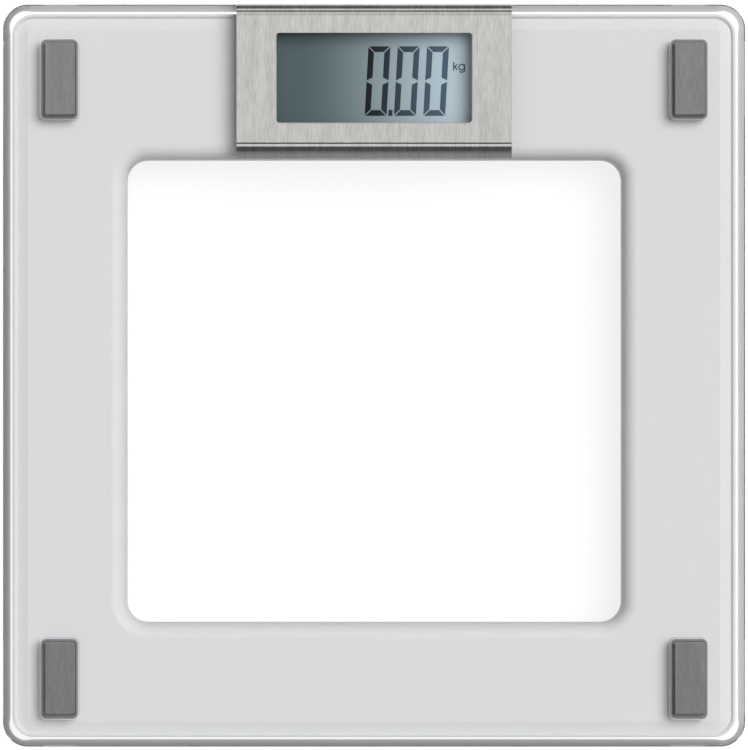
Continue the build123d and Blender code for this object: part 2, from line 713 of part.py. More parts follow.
def foot_pad():
    """The rubber disc under a foot, with ring grooves."""
    pad = disc(0, 0, PAD_RADIUS, 0, PAD_HEIGHT).solid()
    pad = pad.chamfer(PAD_EDGE, None, bottom_face(pad).edges())
    for radius in PAD_GROOVE_RADII:
        outer = disc(0, 0, radius + PAD_GROOVE / 2, -OVERRUN, PAD_GROOVE_DEPTH)
        pad = pad - (outer - disc(0, 0, radius - PAD_GROOVE / 2, -OVERRUN, PAD_GROOVE_DEPTH))
    return pad


def sensor_wire(corner):
    """A gauge's wire, held in the frame's notches all the way to the board."""
    side_x, side_y = CORNERS[corner]
    start = CELL_PLACE - GAUGE_START - GAUGE_LENGTH
    if side_y > 0:
        along = (-1, 0, 0)
        path = Line((start, WIRE_PLACE, WIRE_Z), (BOARD_HALF, WIRE_PLACE, WIRE_Z))
    else:
        along = (0, 1, 0)
        turn = (WIRE_PLACE, FRONT_WIRE_Y, WIRE_Z)
        points = ((WIRE_PLACE, -start, WIRE_Z), turn, (BOARD_HALF, FRONT_WIRE_Y, WIRE_Z))
        path = FilletPolyline(*points, radius=WIRE_BEND)
    section = Plane(origin=path @ 0, z_dir=along) * Circle(WIRE_RADIUS)
    wire = sweep(section, path=path)
    return wire if side_x > 0 else mirror(wire, Plane.YZ)


# Display cover and its tape


def cover_groove(y):
    """A groove across the cover: an upright rear wall and a floor that rises toward the front."""
    outline = Polyline(
        (y, DISPLAY_TOP + OVERRUN),
        (y, DISPLAY_TOP - GROOVE_DEPTH),
        (y - GROOVE_WIDTH, DISPLAY_TOP),
        (y - GROOVE_WIDTH, DISPLAY_TOP + OVERRUN),
        close=True,
    )
    return extrude(Plane.YZ * make_face(outline), DISPLAY_WIDTH / 2 + OVERRUN, both=True)


def display_cover():
    """The extruded cover: round nose, grooved top, rear wall and a hook under the frame."""
    lip = DISPLAY_PLATE - NOSE_DROP
    radius = (NOSE_RUN**2 + NOSE_DROP**2) / (2 * NOSE_DROP)
    flat_front = DISPLAY_FRONT + NOSE_RUN
    half_run = NOSE_RUN / 2
    middle = (flat_front - half_run, DISPLAY_TOP - radius + math.sqrt(radius**2 - half_run**2))
    tip = (DISPLAY_FRONT, TAPE_TOP + lip)
    wall_in = DISPLAY_REAR - COVER_WALL
    nose = ThreePointArc(tip, middle, (flat_front, DISPLAY_TOP))
    rest = Polyline(
        (flat_front, DISPLAY_TOP),
        (DISPLAY_REAR, DISPLAY_TOP),
        (DISPLAY_REAR, HOOK_LOW),
        (DISPLAY_REAR - HOOK_REACH, HOOK_LOW),
        (DISPLAY_REAR - HOOK_REACH, HOOK_TOP),
        (wall_in, HOOK_TOP),
        (wall_in, TAPE_TOP),
        (DISPLAY_FRONT, TAPE_TOP),
        tip,
    )
    profile = Plane.YZ * make_face(nose + rest)
    cover = extrude(profile, DISPLAY_WIDTH / 2, both=True).solid()
    cover = cover.fillet(COVER_BEND, long_edges(cover, DISPLAY_REAR, DISPLAY_TOP))
    cover = cover.fillet(COVER_WALL, long_edges(cover, DISPLAY_REAR, HOOK_LOW))

    low, high = TAPE_TOP - OVERRUN, DISPLAY_TOP + OVERRUN
    cover = cover - slab(0, VIEW_CENTRE_Y, VIEW_WIDTH, VIEW_DEPTH, VIEW_CORNER, low, high)
    cover = cover.solid()
    rim = [edge for wire in top_face(cover).inner_wires() for edge in wire.edges()]
    cover = cover.chamfer(VIEW_CHAMFER, None, rim)
    places = [DISPLAY_FRONT + FRONT_GROOVE] + [DISPLAY_REAR - step for step in REAR_GROOVES]
    cover = cover - [cover_groove(y) for y in places]
    for side in SIDES:
        x = side * HOOK_SCREW_X
        cover = cover - disc(x, HOOK_SCREW_Y, SHANK_RADIUS + PASS_FIT, HOOK_LOW - OVERRUN, FRAME_LIFT)
    return cover


def cover_tape():
    """The adhesive tape that holds the display cover to the glass."""
    front, rear = DISPLAY_FRONT + TAPE_MARGIN, DISPLAY_REAR - COVER_WALL - TAPE_MARGIN
    half = DISPLAY_WIDTH / 2 - TAPE_MARGIN
    spread = 2 * TAPE_VIEW_MARGIN
    width, depth = VIEW_WIDTH + spread, VIEW_DEPTH + spread
    low, high = GLASS_TOP - OVERRUN, TAPE_TOP + OVERRUN
    opening = slab(0, VIEW_CENTRE_Y, width, depth, VIEW_CORNER + TAPE_VIEW_MARGIN, low, high)
    return block(-half, half, front, rear, GLASS_TOP, TAPE_TOP) - opening


# Display stack


def lcd_cell():
    """The display's glass cell."""
    half = LCD_WIDTH / 2
    return block(-half, half, LCD_FRONT, LCD_REAR, LCD_LOW, LCD_TOP)


def leaning_bar(points, x):
    """One dark bar on the cell, leaning with the digits."""
    lean = math.tan(math.radians(DIGIT_SLANT))
    outline = [(x + px + py * lean, DIGIT_CENTRE_Y + py) for px, py in points]
    face = Pos(0, 0, LCD_TOP) * make_face(Polyline(*outline, close=True))
    return extrude(face, BAR_THICKNESS, dir=(0, 0, 1))


def zero_digit(x):
    """The six lit bars of a nought, with mitred joints."""
    wide, tall = DIGIT_WIDTH / 2, DIGIT_HEIGHT / 2
    inner_x, inner_y = wide - DIGIT_STROKE, tall - DIGIT_STROKE
    notch = DIGIT_STROKE / 2
    bars = []
    for sy in SIDES:
        level = [(-wide, tall), (wide, tall), (inner_x, inner_y), (-inner_x, inner_y)]
        trimmed = [(px - math.copysign(DIGIT_MITRE, px), sy * py) for px, py in level]
        bars.append(leaning_bar(trimmed, x))
        for sx in SIDES:
            upright = [
                (wide, tall - DIGIT_MITRE),
                (wide, DIGIT_MITRE),
                (inner_x, notch + DIGIT_MITRE),
                (inner_x, inner_y - DIGIT_MITRE),
            ]
            bars.append(leaning_bar([(sx * px, sy * py) for px, py in upright], x))
    return bars


def lcd_segments():
    """Three noughts and a decimal point."""
    bars = []
    for count in range(3):
        bars += zero_digit(DIGIT_FIRST_X + count * DIGIT_PITCH)
    half, low = POINT_WIDTH / 2, -DIGIT_HEIGHT / 2
    high = low + POINT_HEIGHT
    lean = math.tan(math.radians(DIGIT_SLANT))
    middle = POINT_X - (low + high) / 2 * lean
    return bars + [leaning_bar([(-half, low), (half, low), (half, high), (-half, high)], middle)]


def lcd_gasket():
    """The black foam ring between the display and the platform glass."""
    rim = 2 * HOLDER_RIM
    outer = slab(0, VIEW_CENTRE_Y, LCD_WIDTH + rim, LCD_DEPTH + rim, HOLDER_WALL, LCD_TOP, GLASS_LOW)
    shy = 2 * GASKET_SHY
    low, high = LCD_TOP - OVERRUN, GLASS_LOW + OVERRUN
    return outer - slab(0, VIEW_CENTRE_Y, VIEW_WIDTH + shy, VIEW_DEPTH + shy, VIEW_CORNER, low, high)


def lcd_holder():
    """The frame that sets the display cell above the board."""
    rim = 2 * HOLDER_RIM
    holder = slab(0, VIEW_CENTRE_Y, LCD_WIDTH + rim, LCD_DEPTH + rim, HOLDER_WALL, BOARD_TOP, LCD_TOP)
    half = LCD_WIDTH / 2 + HOLDER_FIT
    front, rear = LCD_FRONT - HOLDER_FIT, LCD_REAR + HOLDER_FIT
    seat = block(-half, half, front, rear, LCD_LOW, LCD_TOP + OVERRUN)
    ledge = HOLDER_LEDGE
    well = block(
        ledge - half, half - ledge, front + ledge, rear - ledge, BOARD_TOP - OVERRUN, LCD_TOP + OVERRUN
    )
    return holder - seat - well


def zebra_strips():
    """The two rubber contact strips between the board and the display cell."""
    offset = LCD_DEPTH / 2 + HOLDER_FIT - HOLDER_LEDGE - ZEBRA_FIT - ZEBRA_WIDTH / 2
    half, thick = LCD_WIDTH / 2 - ZEBRA_END, ZEBRA_WIDTH / 2
    middles = [VIEW_CENTRE_Y + side * offset for side in SIDES]
    return [block(-half, half, y - thick, y + thick, BOARD_TOP, LCD_LOW) for y in middles]


# Display housing, board and what stands in them


def board_screw_places():
    """The four posts that carry the board, in plan."""
    x = BOARD_HALF - BOARD_SCREW_SIDE
    front = WIRE_PLACE + HEADER_LENGTH / 2 + BOARD_HEAD_RADIUS + BOARD_SCREW_ROOM
    rows = (front, BOARD_REAR - BOARD_SCREW_REAR)
    return [(side * x, y) for side in SIDES for y in rows]


def header_places():
    """The four wire sockets on the board, in plan."""
    x = BOARD_HALF - HEADER_WIDTH / 2
    return [(side * x, y) for side in SIDES for y in (FRONT_WIRE_Y, WIRE_PLACE)]


def battery_block():
    """The solid that holds the coin cell, its contacts and the door's hinge."""
    half = POCKET_RADIUS + POCKET_SIDE
    front = DOOR_FRONT - DOOR_FIT - HINGE_WALL
    rear = HINGE_Y + BARREL_RADIUS + BARREL_FIT + HINGE_BACK
    return block(COIN_X - half, COIN_X + half, front, rear, FRAME_LIFT, BLOCK_TOP)


def battery_cuts():
    """The coin pocket, door recess, hinge room and contact slots."""
    low = FRAME_LIFT - OVERRUN
    wide = DOOR_WIDTH / 2 + DOOR_FIT
    cuts = [disc(COIN_X, COIN_Y, POCKET_RADIUS, low, POCKET_TOP)]
    front, rear = DOOR_FRONT - DOOR_FIT, DOOR_REAR + DOOR_SWING_FIT
    cuts.append(block(COIN_X - wide, COIN_X + wide, front, rear, low, DOOR_ROOF))
    room = BARREL_RADIUS + BARREL_FIT
    long = BARREL_LENGTH / 2 + DOOR_FIT
    cuts.append(block(COIN_X - long, COIN_X + long, rear - OVERRUN, HINGE_Y + room, low, HINGE_Z))
    hinge = Pos(COIN_X, HINGE_Y, HINGE_Z) * Rot(0, 90, 0)
    cuts.append(hinge * Cylinder(room, 2 * long))
    cuts.append(hinge * Cylinder(PIN_RADIUS + PIN_FIT, 2 * (long + PIN_LENGTH)))
    cuts.append(block(COIN_X - long, COIN_X + long, DOOR_REAR, HINGE_Y, low, DOOR_ROOF))
    cuts.append(disc(COIN_X, front, SCOOP_RADIUS, low, FRAME_LIFT + SCOOP_DEPTH))

    slot = CONTACT_WIDTH / 2 + CONTACT_FIT
    near, far = COIN_Y - slot, COIN_Y + slot
    leg = COIN_X + CONTACT_REACH
    cuts.append(block(COIN_X, leg + CONTACT_FIT, near, far, COIN_TOP - CONTACT_FIT, POCKET_TOP))
    leg_back = leg - CONTACT_THICKNESS - CONTACT_FIT
    cuts.append(block(leg_back, leg + CONTACT_FIT, near, far, COIN_TOP, BLOCK_TOP + OVERRUN))
    rim = COIN_Y - COIN_RADIUS - SIDE_CONTACT_GAP
    back = rim - CONTACT_THICKNESS - CONTACT_FIT
    cuts.append(
        block(COIN_X - slot, COIN_X + slot, back, rim + CONTACT_FIT, DOOR_ROOF, BLOCK_TOP + OVERRUN)
    )
    return cuts


def display_housing():
    """The tub under the display, with its ears, posts, battery bay and switch slot."""
    middle = (HOUSING_FRONT + HOUSING_REAR) / 2
    width, depth = 2 * HOUSING_HALF, HOUSING_REAR - HOUSING_FRONT
    tub = slab(0, middle, width, depth, HOUSING_CORNER, FRAME_LIFT, FRAME_TOP)
    well = block(-INNER_HALF, INNER_HALF, INNER_FRONT, INNER_REAR, FLOOR_TOP, FRAME_TOP + OVERRUN)
    housing = tub - well
    grown = [battery_block()]
    for x, y in board_screw_places():
        grown.append(disc(x, y, POST_RADIUS, FRAME_LIFT, BOARD_LOW))
    for side in SIDES:
        x = side * HOOK_SCREW_X
        grown.append(disc(x, HOOK_SCREW_Y, HOOK_BOSS_RADIUS, FRAME_LIFT, BOARD_LOW - HOOK_BOSS_GAP))
    ear_half = EAR_SIDE / 2
    for x, y in ear_places():
        ear = slab(x, y, EAR_SIDE, EAR_SIDE, HOUSING_CORNER, FLOOR_TOP, FLOOR_TOP + EAR_HEIGHT)
        root = x - math.copysign(ear_half / 2, x)
        grown.append(ear)
        near, far = sorted((root, math.copysign(INNER_HALF, x)))
        grown.append(block(near, far, y - ear_half, y + ear_half, FLOOR_TOP, FLOOR_TOP + EAR_HEIGHT))
    housing = housing + grown

    cuts = battery_cuts()
    for x, y in board_screw_places():
        hole = BOARD_SHANK_RADIUS + PILOT_FIT
        cuts.append(disc(x, y, hole, BOARD_TOP - BOARD_SCREW_BITE, BOARD_LOW + OVERRUN))
    for side in SIDES:
        x = side * HOOK_SCREW_X
        cuts.append(disc(x, HOOK_SCREW_Y, SHANK_RADIUS + PILOT_FIT, HOOK_LOW, HOOK_LOW + SCREW_BITE))
    for x, y in ear_places():
        cuts.append(disc(x, y, SHANK_RADIUS + PASS_FIT, FRAME_LIFT, FRAME_TOP))
        cuts.append(disc(x, y, HEAD_RADIUS + SINK_FIT, FRAME_LIFT, FLOOR_TOP + SINK_DEPTH))
    turned = Rot(0, 90, 0) * Cylinder(WIRE_RADIUS + WIRE_HOLE_FIT, width + 2 * OVERRUN)
    cuts += [Pos(0, y, WIRE_Z) * turned for y in (FRONT_WIRE_Y, WIRE_PLACE)]
    long = (SLIDER_SIDE + SLIDER_TRAVEL) / 2 + SLOT_END
    wide = SLIDER_SIDE / 2 + SLOT_SIDE
    low, high = FRAME_LIFT - OVERRUN, FLOOR_TOP + OVERRUN
    cuts.append(block(SWITCH_X - long, SWITCH_X + long, SWITCH_Y - wide, SWITCH_Y + wide, low, high))
    return housing - cuts


def circuit_board():
    """The printed board over the housing's posts."""
    board = block(-BOARD_HALF, BOARD_HALF, BOARD_FRONT, BOARD_REAR, BOARD_LOW, BOARD_TOP)
    low, high = BOARD_LOW - OVERRUN, BOARD_TOP + OVERRUN
    holes = [disc(x, y, BOARD_SHANK_RADIUS + PASS_FIT, low, high) for x, y in board_screw_places()]
    return board - holes


def board_screw(x, y):
    """A small screw driven down through the board into its post."""
    head = disc(x, y, BOARD_HEAD_RADIUS, BOARD_TOP, BOARD_TOP + HEAD_HEIGHT).solid()
    head = head.chamfer(HEAD_EDGE, None, top_face(head).edges())
    return head + disc(x, y, BOARD_SHANK_RADIUS, BOARD_TOP - BOARD_SCREW_BITE, BOARD_TOP)


def chip_blob():
    """The black resin over the bare chip under the board."""
    y = INNER_FRONT + CHIP_BACK
    blob = disc(CHIP_X, y, CHIP_RADIUS, BOARD_LOW - CHIP_HEIGHT, BOARD_LOW).solid()
    return blob.fillet(CHIP_ROUND, bottom_face(blob).edges())


def crystal_can():
    """The metal timing crystal under the board."""
    low = BOARD_LOW - CRYSTAL_HEIGHT
    x, y = INNER_HALF - CRYSTAL_SIDE, INNER_FRONT + CRYSTAL_BACK
    corner = CRYSTAL_WIDTH / 2 - CRYSTAL_ROUND / 2
    can = slab(x, y, CRYSTAL_LENGTH, CRYSTAL_WIDTH, corner, low, BOARD_LOW).solid()
    return can.fillet(CRYSTAL_ROUND, bottom_face(can).edges())


def capacitors():
    """The two round capacitors under the board."""
    cans = []
    low = BOARD_LOW - CAPACITOR_HEIGHT
    for side, back in zip(CAPACITOR_SIDE, CAPACITOR_BACK):
        can = disc(INNER_HALF - side, INNER_FRONT + back, CAPACITOR_RADIUS, low, BOARD_LOW).solid()
        cans.append(can.fillet(CAPACITOR_ROUND, bottom_face(can).edges()))
    return cans


def wire_headers():
    """The sockets on the board that the sensor wires end in."""
    half, long = HEADER_WIDTH / 2, HEADER_LENGTH / 2
    top = BOARD_TOP + HEADER_HEIGHT
    return [block(x - half, x + half, y - long, y + long, BOARD_TOP, top) for x, y in header_places()]


# Coin cell, contacts, door and unit switch


def coin_cell():
    """The coin cell in its pocket."""
    coin = disc(COIN_X, COIN_Y, COIN_RADIUS, COIN_LOW, COIN_TOP).solid()
    return coin.fillet(COIN_EDGE, list(bottom_face(coin).edges()) + list(top_face(coin).edges()))


def battery_contact_spring():
    """The leaf on the coin cell's upper face, with a leg up to the board."""
    half = CONTACT_WIDTH / 2
    near, far = COIN_Y - half, COIN_Y + half
    leg = COIN_X + CONTACT_REACH
    leaf = block(COIN_X - half, leg, near, far, COIN_TOP, CONTACT_TOP)
    return leaf + block(leg - CONTACT_THICKNESS, leg, near, far, COIN_TOP, BOARD_LOW)


def battery_contact_side():
    """The strip beside the coin cell's rim, standing in its slot up to the board."""
    half = CONTACT_WIDTH / 2
    rim = COIN_Y - COIN_RADIUS - SIDE_CONTACT_GAP
    low = COIN_LOW + SIDE_CONTACT_RISE
    return block(COIN_X - half, COIN_X + half, rim - CONTACT_THICKNESS, rim, low, BOARD_LOW)


def battery_door():
    """The flap over the coin cell, with a barrel and stub pins at its rear edge."""
    wide, long = DOOR_WIDTH / 2, BARREL_LENGTH / 2
    door = block(COIN_X - wide, COIN_X + wide, DOOR_FRONT, DOOR_REAR, FRAME_LIFT, DOOR_TOP)
    tongue = block(COIN_X - long, COIN_X + long, DOOR_REAR - OVERRUN, HINGE_Y, FRAME_LIFT, DOOR_TOP)
    hinge = Pos(COIN_X, HINGE_Y, HINGE_Z) * Rot(0, 90, 0)
    door = door + tongue + hinge * Cylinder(BARREL_RADIUS, BARREL_LENGTH)
    door = door + hinge * Cylinder(PIN_RADIUS, BARREL_LENGTH + 2 * PIN_LENGTH)
    reach = GRIP_LENGTH / 2
    for count in range(GRIP_COUNT):
        y = DOOR_FRONT + GRIP_PITCH * (count + 1)
        low, high = FRAME_LIFT - OVERRUN, FRAME_LIFT + GRIP_DEPTH
        door = door - block(COIN_X - reach, COIN_X + reach, y, y + GRIP_WIDTH, low, high)
    return door


def unit_switch_body():
    """The slide switch under the board, with a slot for its slider."""
    long, wide = SWITCH_LENGTH / 2, SWITCH_WIDTH / 2
    low = BOARD_LOW - SWITCH_HEIGHT
    body = block(SWITCH_X - long, SWITCH_X + long, SWITCH_Y - wide, SWITCH_Y + wide, low, BOARD_LOW)
    long = (SLIDER_SIDE + SLIDER_TRAVEL) / 2 + SLIDER_END_GAP
    wide = SLIDER_SIDE / 2 + SLIDER_SIDE_GAP
    near, far = SWITCH_Y - wide, SWITCH_Y + wide
    return body - block(SWITCH_X - long, SWITCH_X + long, near, far, low - OVERRUN, low + SLOT_DEPTH)


def unit_switch_slider():
    """The slider, at the left end of its travel."""
    half = SLIDER_SIDE / 2
    x = SWITCH_X - SLIDER_TRAVEL / 2
    high = BOARD_LOW - SWITCH_HEIGHT + SLIDER_HOLD
    low = FRAME_LIFT + SLIDER_SINK
    return block(x - half, x + half, SWITCH_Y - half, SWITCH_Y + half, low, high)


save("carrier_frame", carrier_frame())
save("base_cover", base_cover())
save("base_screws", *[screw(x, y, FRAME_LIFT + SINK_DEPTH, SCREW_BITE) for x, y in base_screw_places()])
save("platform_glass", platform_glass())
save("plate_nuts", *plate_nuts())
tray_screws = [screw(x, y, TRAY_LOW, SCREW_BITE) for x, y in tray_screw_places()]
save("tray_screws", *[placed(piece, corner) for corner in CORNERS for piece in tray_screws])
for corner in CORNERS:
    save(f"corner_plate_{corner}", corner_plate(corner))
    save(f"plate_seal_{corner}", plate_seal(corner))
    save(f"load_cell_{corner}", placed(load_cell(), corner))
    save(f"cell_tray_{corner}", placed(cell_tray(), corner))
    save(f"strain_gauge_{corner}", placed(strain_gauge(), corner))
    save(f"foot_{corner}", placed(foot(), corner))
    save(f"foot_pad_{corner}", placed(foot_pad(), corner))
    save(f"sensor_wire_{corner}", sensor_wire(corner))
save("display_cover", display_cover())
save("cover_tape", cover_tape())
save("cover_screws", *[screw(side * HOOK_SCREW_X, HOOK_SCREW_Y, HOOK_LOW, SCREW_BITE) for side in SIDES])
save("display_housing", display_housing())
save("housing_screws", *[screw(x, y, FLOOR_TOP + SINK_DEPTH, SCREW_BITE) for x, y in ear_places()])
save("lcd_cell", lcd_cell())
save("lcd_segments", *lcd_segments())
save("lcd_gasket", lcd_gasket())
save("lcd_holder", lcd_holder())
save("zebra_strips", *zebra_strips())
save("circuit_board", circuit_board())
save("board_screws", *[board_screw(x, y) for x, y in board_screw_places()])
save("chip_blob", chip_blob())
save("crystal_can", crystal_can())
save("capacitors", *capacitors())
save("wire_headers", *wire_headers())
save("coin_cell", coin_cell())
save("battery_contact_spring", battery_contact_spring())
save("battery_contact_side", battery_contact_side())
save("battery_door", battery_door())
save("unit_switch_body", unit_switch_body())
save("unit_switch_slider", unit_switch_slider())
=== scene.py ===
import logging
import math
from dataclasses import dataclass, field
from enum import Enum

import bmesh
import bpy
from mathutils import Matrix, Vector


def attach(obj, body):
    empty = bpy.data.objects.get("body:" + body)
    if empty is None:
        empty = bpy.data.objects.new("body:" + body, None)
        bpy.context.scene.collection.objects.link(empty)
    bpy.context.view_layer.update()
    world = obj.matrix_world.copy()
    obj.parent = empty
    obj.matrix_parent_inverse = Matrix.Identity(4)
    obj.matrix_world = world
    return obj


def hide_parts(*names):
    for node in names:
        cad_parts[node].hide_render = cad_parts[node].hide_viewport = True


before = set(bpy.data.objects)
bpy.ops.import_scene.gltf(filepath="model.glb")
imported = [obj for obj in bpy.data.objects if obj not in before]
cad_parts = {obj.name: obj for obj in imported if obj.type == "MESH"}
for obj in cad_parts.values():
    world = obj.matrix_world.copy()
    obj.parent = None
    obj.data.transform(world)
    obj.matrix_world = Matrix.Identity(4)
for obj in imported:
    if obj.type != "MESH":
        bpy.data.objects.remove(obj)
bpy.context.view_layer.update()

# The looks of a glass-topped digital personal scale. Sizes are in millimetres and become
# metres where a mesh is made. The display is toward +Y.

log = logging.getLogger("scale")

MM = 0.001
BODY = "platform"
# An edge that turns by this many degrees or more is shaded sharp.
CREASE = 30.0
# Nearly all of a noise pattern lies between these two values.
NOISE_LOW = 0.3
NOISE_HIGH = 0.7
# How far a piece's brushing map slides with height, so that upright faces have a direction too.
LEAN_X = 0.1
LEAN_Y = -0.7

Colour = tuple[float, float, float, float]
Point = tuple[float, float]
Loop = list[Vector]
Ring = list[bmesh.types.BMVert]
EditMesh = bmesh.types.BMesh
Material = bpy.types.Material
Tree = bpy.types.NodeTree
Socket = bpy.types.NodeSocket


class Corner(Enum):
    """A corner of the platform, as it ends the names of the pieces there."""

    FRONT_LEFT = "front_left"
    FRONT_RIGHT = "front_right"
    REAR_LEFT = "rear_left"
    REAR_RIGHT = "rear_right"


def linear(hex_colour: str) -> Colour:
    """Turns an sRGB hex value to linear light.

    Args:
        hex_colour: six hex digits after a hash.

    Returns:
        Red, green, blue and an alpha of 1.
    """
    digits = hex_colour.lstrip("#")
    shares = [int(digits[at : at + 2], 16) / 255 for at in (0, 2, 4)]
    red, green, blue = [
        share / 12.92 if share <= 0.04045 else ((share + 0.055) / 1.055) ** 2.4 for share in shares
    ]
    return red, green, blue, 1.0


def add_node(tree: Tree, kind: str, inputs: dict | None = None, **settings) -> bpy.types.Node:
    """Adds one shader node with its settings, values and links.

    Args:
        tree: the node tree of a material or of the world.
        kind: the node's type.
        inputs: a value or another node's output for each input, by name or number.
        settings: the node's own settings.

    Returns:
        The new node.
    """
    node = tree.nodes.new(kind)
    for key, value in settings.items():
        setattr(node, key, value)
    for key, value in (inputs or {}).items():
        if isinstance(value, Socket):
            tree.links.new(value, node.inputs[key])
        else:
            node.inputs[key].default_value = value
    return node


def new_tree(name: str) -> tuple[Material, Tree, Socket]:
    """Starts a material.

    Args:
        name: the material's name.

    Returns:
        The material, its empty tree, and the piece's own coordinates in metres.
    """
    material = bpy.data.materials.new(name)
    material.use_nodes = True
    tree = material.node_tree
    tree.nodes.clear()
    place = add_node(tree, "ShaderNodeTexCoord").outputs["Object"]
    return material, tree, place


def finish_tree(tree: Tree, shader: Socket) -> None:
    """Joins a shader to the material's output."""
    add_node(tree, "ShaderNodeOutputMaterial", {"Surface": shader})


def mottle(
    tree: Tree, place: Socket, size: float, low: float, high: float, detail: float = 2.0
) -> Socket:
    """Spots of one size, spread between two values.

    Args:
        tree: the node tree.
        place: the coordinates in metres, which may be stretched.
        size: the width of a spot in millimetres of those coordinates.
        low: the value of the darkest spots.
        high: the value of the lightest spots.
        detail: how much finer structure lies in the spots.

    Returns:
        The value's socket.
    """
    spots = add_node(
        tree, "ShaderNodeTexNoise", {"Vector": place, "Scale": 1 / (size * MM), "Detail": detail}
    )
    spread = add_node(
        tree,
        "ShaderNodeMapRange",
        {
            "Value": spots.outputs[0],
            "From Min": NOISE_LOW,
            "From Max": NOISE_HIGH,
            "To Min": low,
            "To Max": high,
        },
    )
    return spread.outputs[0]


def shaded(tree: Tree, colour: Colour | Socket, value: Socket) -> Socket:
    """One colour, made lighter or darker by a value.

    Args:
        tree: the node tree.
        colour: the colour, or its socket, where the value is 1.
        value: the brightness at each place.

    Returns:
        The colour's socket.
    """
    grey = add_node(tree, "ShaderNodeCombineColor", {"Red": value, "Green": value, "Blue": value})
    mixed = add_node(
        tree,
        "ShaderNodeMix",
        {0: 1.0, 6: colour, 7: grey.outputs[0]},
        data_type="RGBA",
        blend_type="MULTIPLY",
    )
    return mixed.outputs[2]


@dataclass(frozen=True)
class MouldedPlastic:
    """Injection-moulded plastic from a spark-eroded mould: an even fine grain and a soft sheen."""

    name: str
    colour: str
    roughness: float = 0.42
    sheen: float = 0.03
    ior: float = 1.53
    grain: float = 0.5
    cloud: float = 25.0
    speckle: float = 0.03
    bump: float = 0.5
    relief: float = 0.012

    def make(self) -> Material:
        """Makes the material; the grain is drawn coarser than the real 0.1 mm, so that it shows.

        Returns:
            The new material.
        """
        material, tree, place = new_tree(self.name)
        tone = mottle(tree, place, self.grain, 1 - self.speckle, 1 + self.speckle, detail=3.0)
        height = mottle(tree, place, self.grain, 0, 1)
        bump = add_node(
            tree,
            "ShaderNodeBump",
            {"Strength": self.bump, "Distance": self.relief * MM, "Height": height},
        )
        base = shaded(tree, linear(self.colour), tone)
        dull, gloss = self.roughness + self.sheen, self.roughness - self.sheen
        shader = add_node(
            tree,
            "ShaderNodeBsdfPrincipled",
            {
                "Base Color": base,
                "Roughness": mottle(tree, place, self.cloud, gloss, dull),
                "IOR": self.ior,
                "Normal": bump.outputs[0],
            },
        )
        finish_tree(tree, shader.outputs[0])
        return material


@dataclass(frozen=True)
class BrushedMetal:
    """Metal brushed along Y with grit: short fine streaks, and gloss spread across them."""

    name: str
    colour: str
    roughness: float
    sheen: float = 0.03
    anisotropy: float = 0.6
    streak: float = 0.4
    length: float = 5.0
    band: float = 9.0
    patch: float = 3.0
    contrast: float = 0.14
    bump: float = 0.6
    relief: float = 0.004

    def make(self) -> Material:
        """Makes the material; the streaks are drawn wider than the real 0.05 mm, so that they show.

        Returns:
            The new material.
        """
        material, tree, place = new_tree(self.name)
        # In the stretched coordinates a streak is 1 mm wide and 1 mm long.
        stretch = (1 / self.streak, 1 / self.length, 1 / self.length)
        drawn = add_node(tree, "ShaderNodeMapping", {"Vector": place, "Scale": stretch}).outputs[0]
        fine = mottle(tree, drawn, 1, 1 - self.contrast, 1 + self.contrast, detail=3.0)
        half = self.contrast / 2
        broad = mottle(tree, drawn, self.band, 1 - half, 1 + half)
        tone = add_node(tree, "ShaderNodeMath", {0: fine, 1: broad}, operation="MULTIPLY")
        height = mottle(tree, drawn, 1, 0, 1, detail=3.0)
        bump = add_node(
            tree,
            "ShaderNodeBump",
            {"Strength": self.bump, "Distance": self.relief * MM, "Height": height},
        )
        across = add_node(tree, "ShaderNodeTangent", direction_type="UV_MAP", uv_map="drawn")
        base = shaded(tree, linear(self.colour), tone.outputs[0])
        dull, gloss = self.roughness + self.sheen, self.roughness - self.sheen
        shader = add_node(
            tree,
            "ShaderNodeBsdfPrincipled",
            {
                "Base Color": base,
                "Metallic": 1.0,
                "Roughness": mottle(tree, drawn, self.patch, gloss, dull),
                "Anisotropic": self.anisotropy,
                "Normal": bump.outputs[0],
                "Tangent": across.outputs[0],
            },
        )
        finish_tree(tree, shader.outputs[0])
        return material


@dataclass(frozen=True)
class PlainMetal:
    """Rolled, pressed or plated metal: a close gloss with faint cloudy wear."""

    name: str
    colour: str
    roughness: float
    cloud: float = 6.0
    contrast: float = 0.06
    scuff: float = 0.25
    wear: float = 0.2

    def make(self) -> Material:
        """Makes the material, its gloss clouded more finely than its tone.

        Returns:
            The new material.
        """
        material, tree, place = new_tree(self.name)
        tone = mottle(tree, place, self.cloud, 1 - self.contrast, 1 + self.contrast, detail=4.0)
        base = shaded(tree, linear(self.colour), tone)
        dull, gloss = self.roughness * (1 + self.wear), self.roughness * (1 - self.wear)
        shader = add_node(
            tree,
            "ShaderNodeBsdfPrincipled",
            {
                "Base Color": base,
                "Metallic": 1.0,
                "Roughness": mottle(tree, place, self.cloud * self.scuff, gloss, dull),
            },
        )
        finish_tree(tree, shader.outputs[0])
        return material


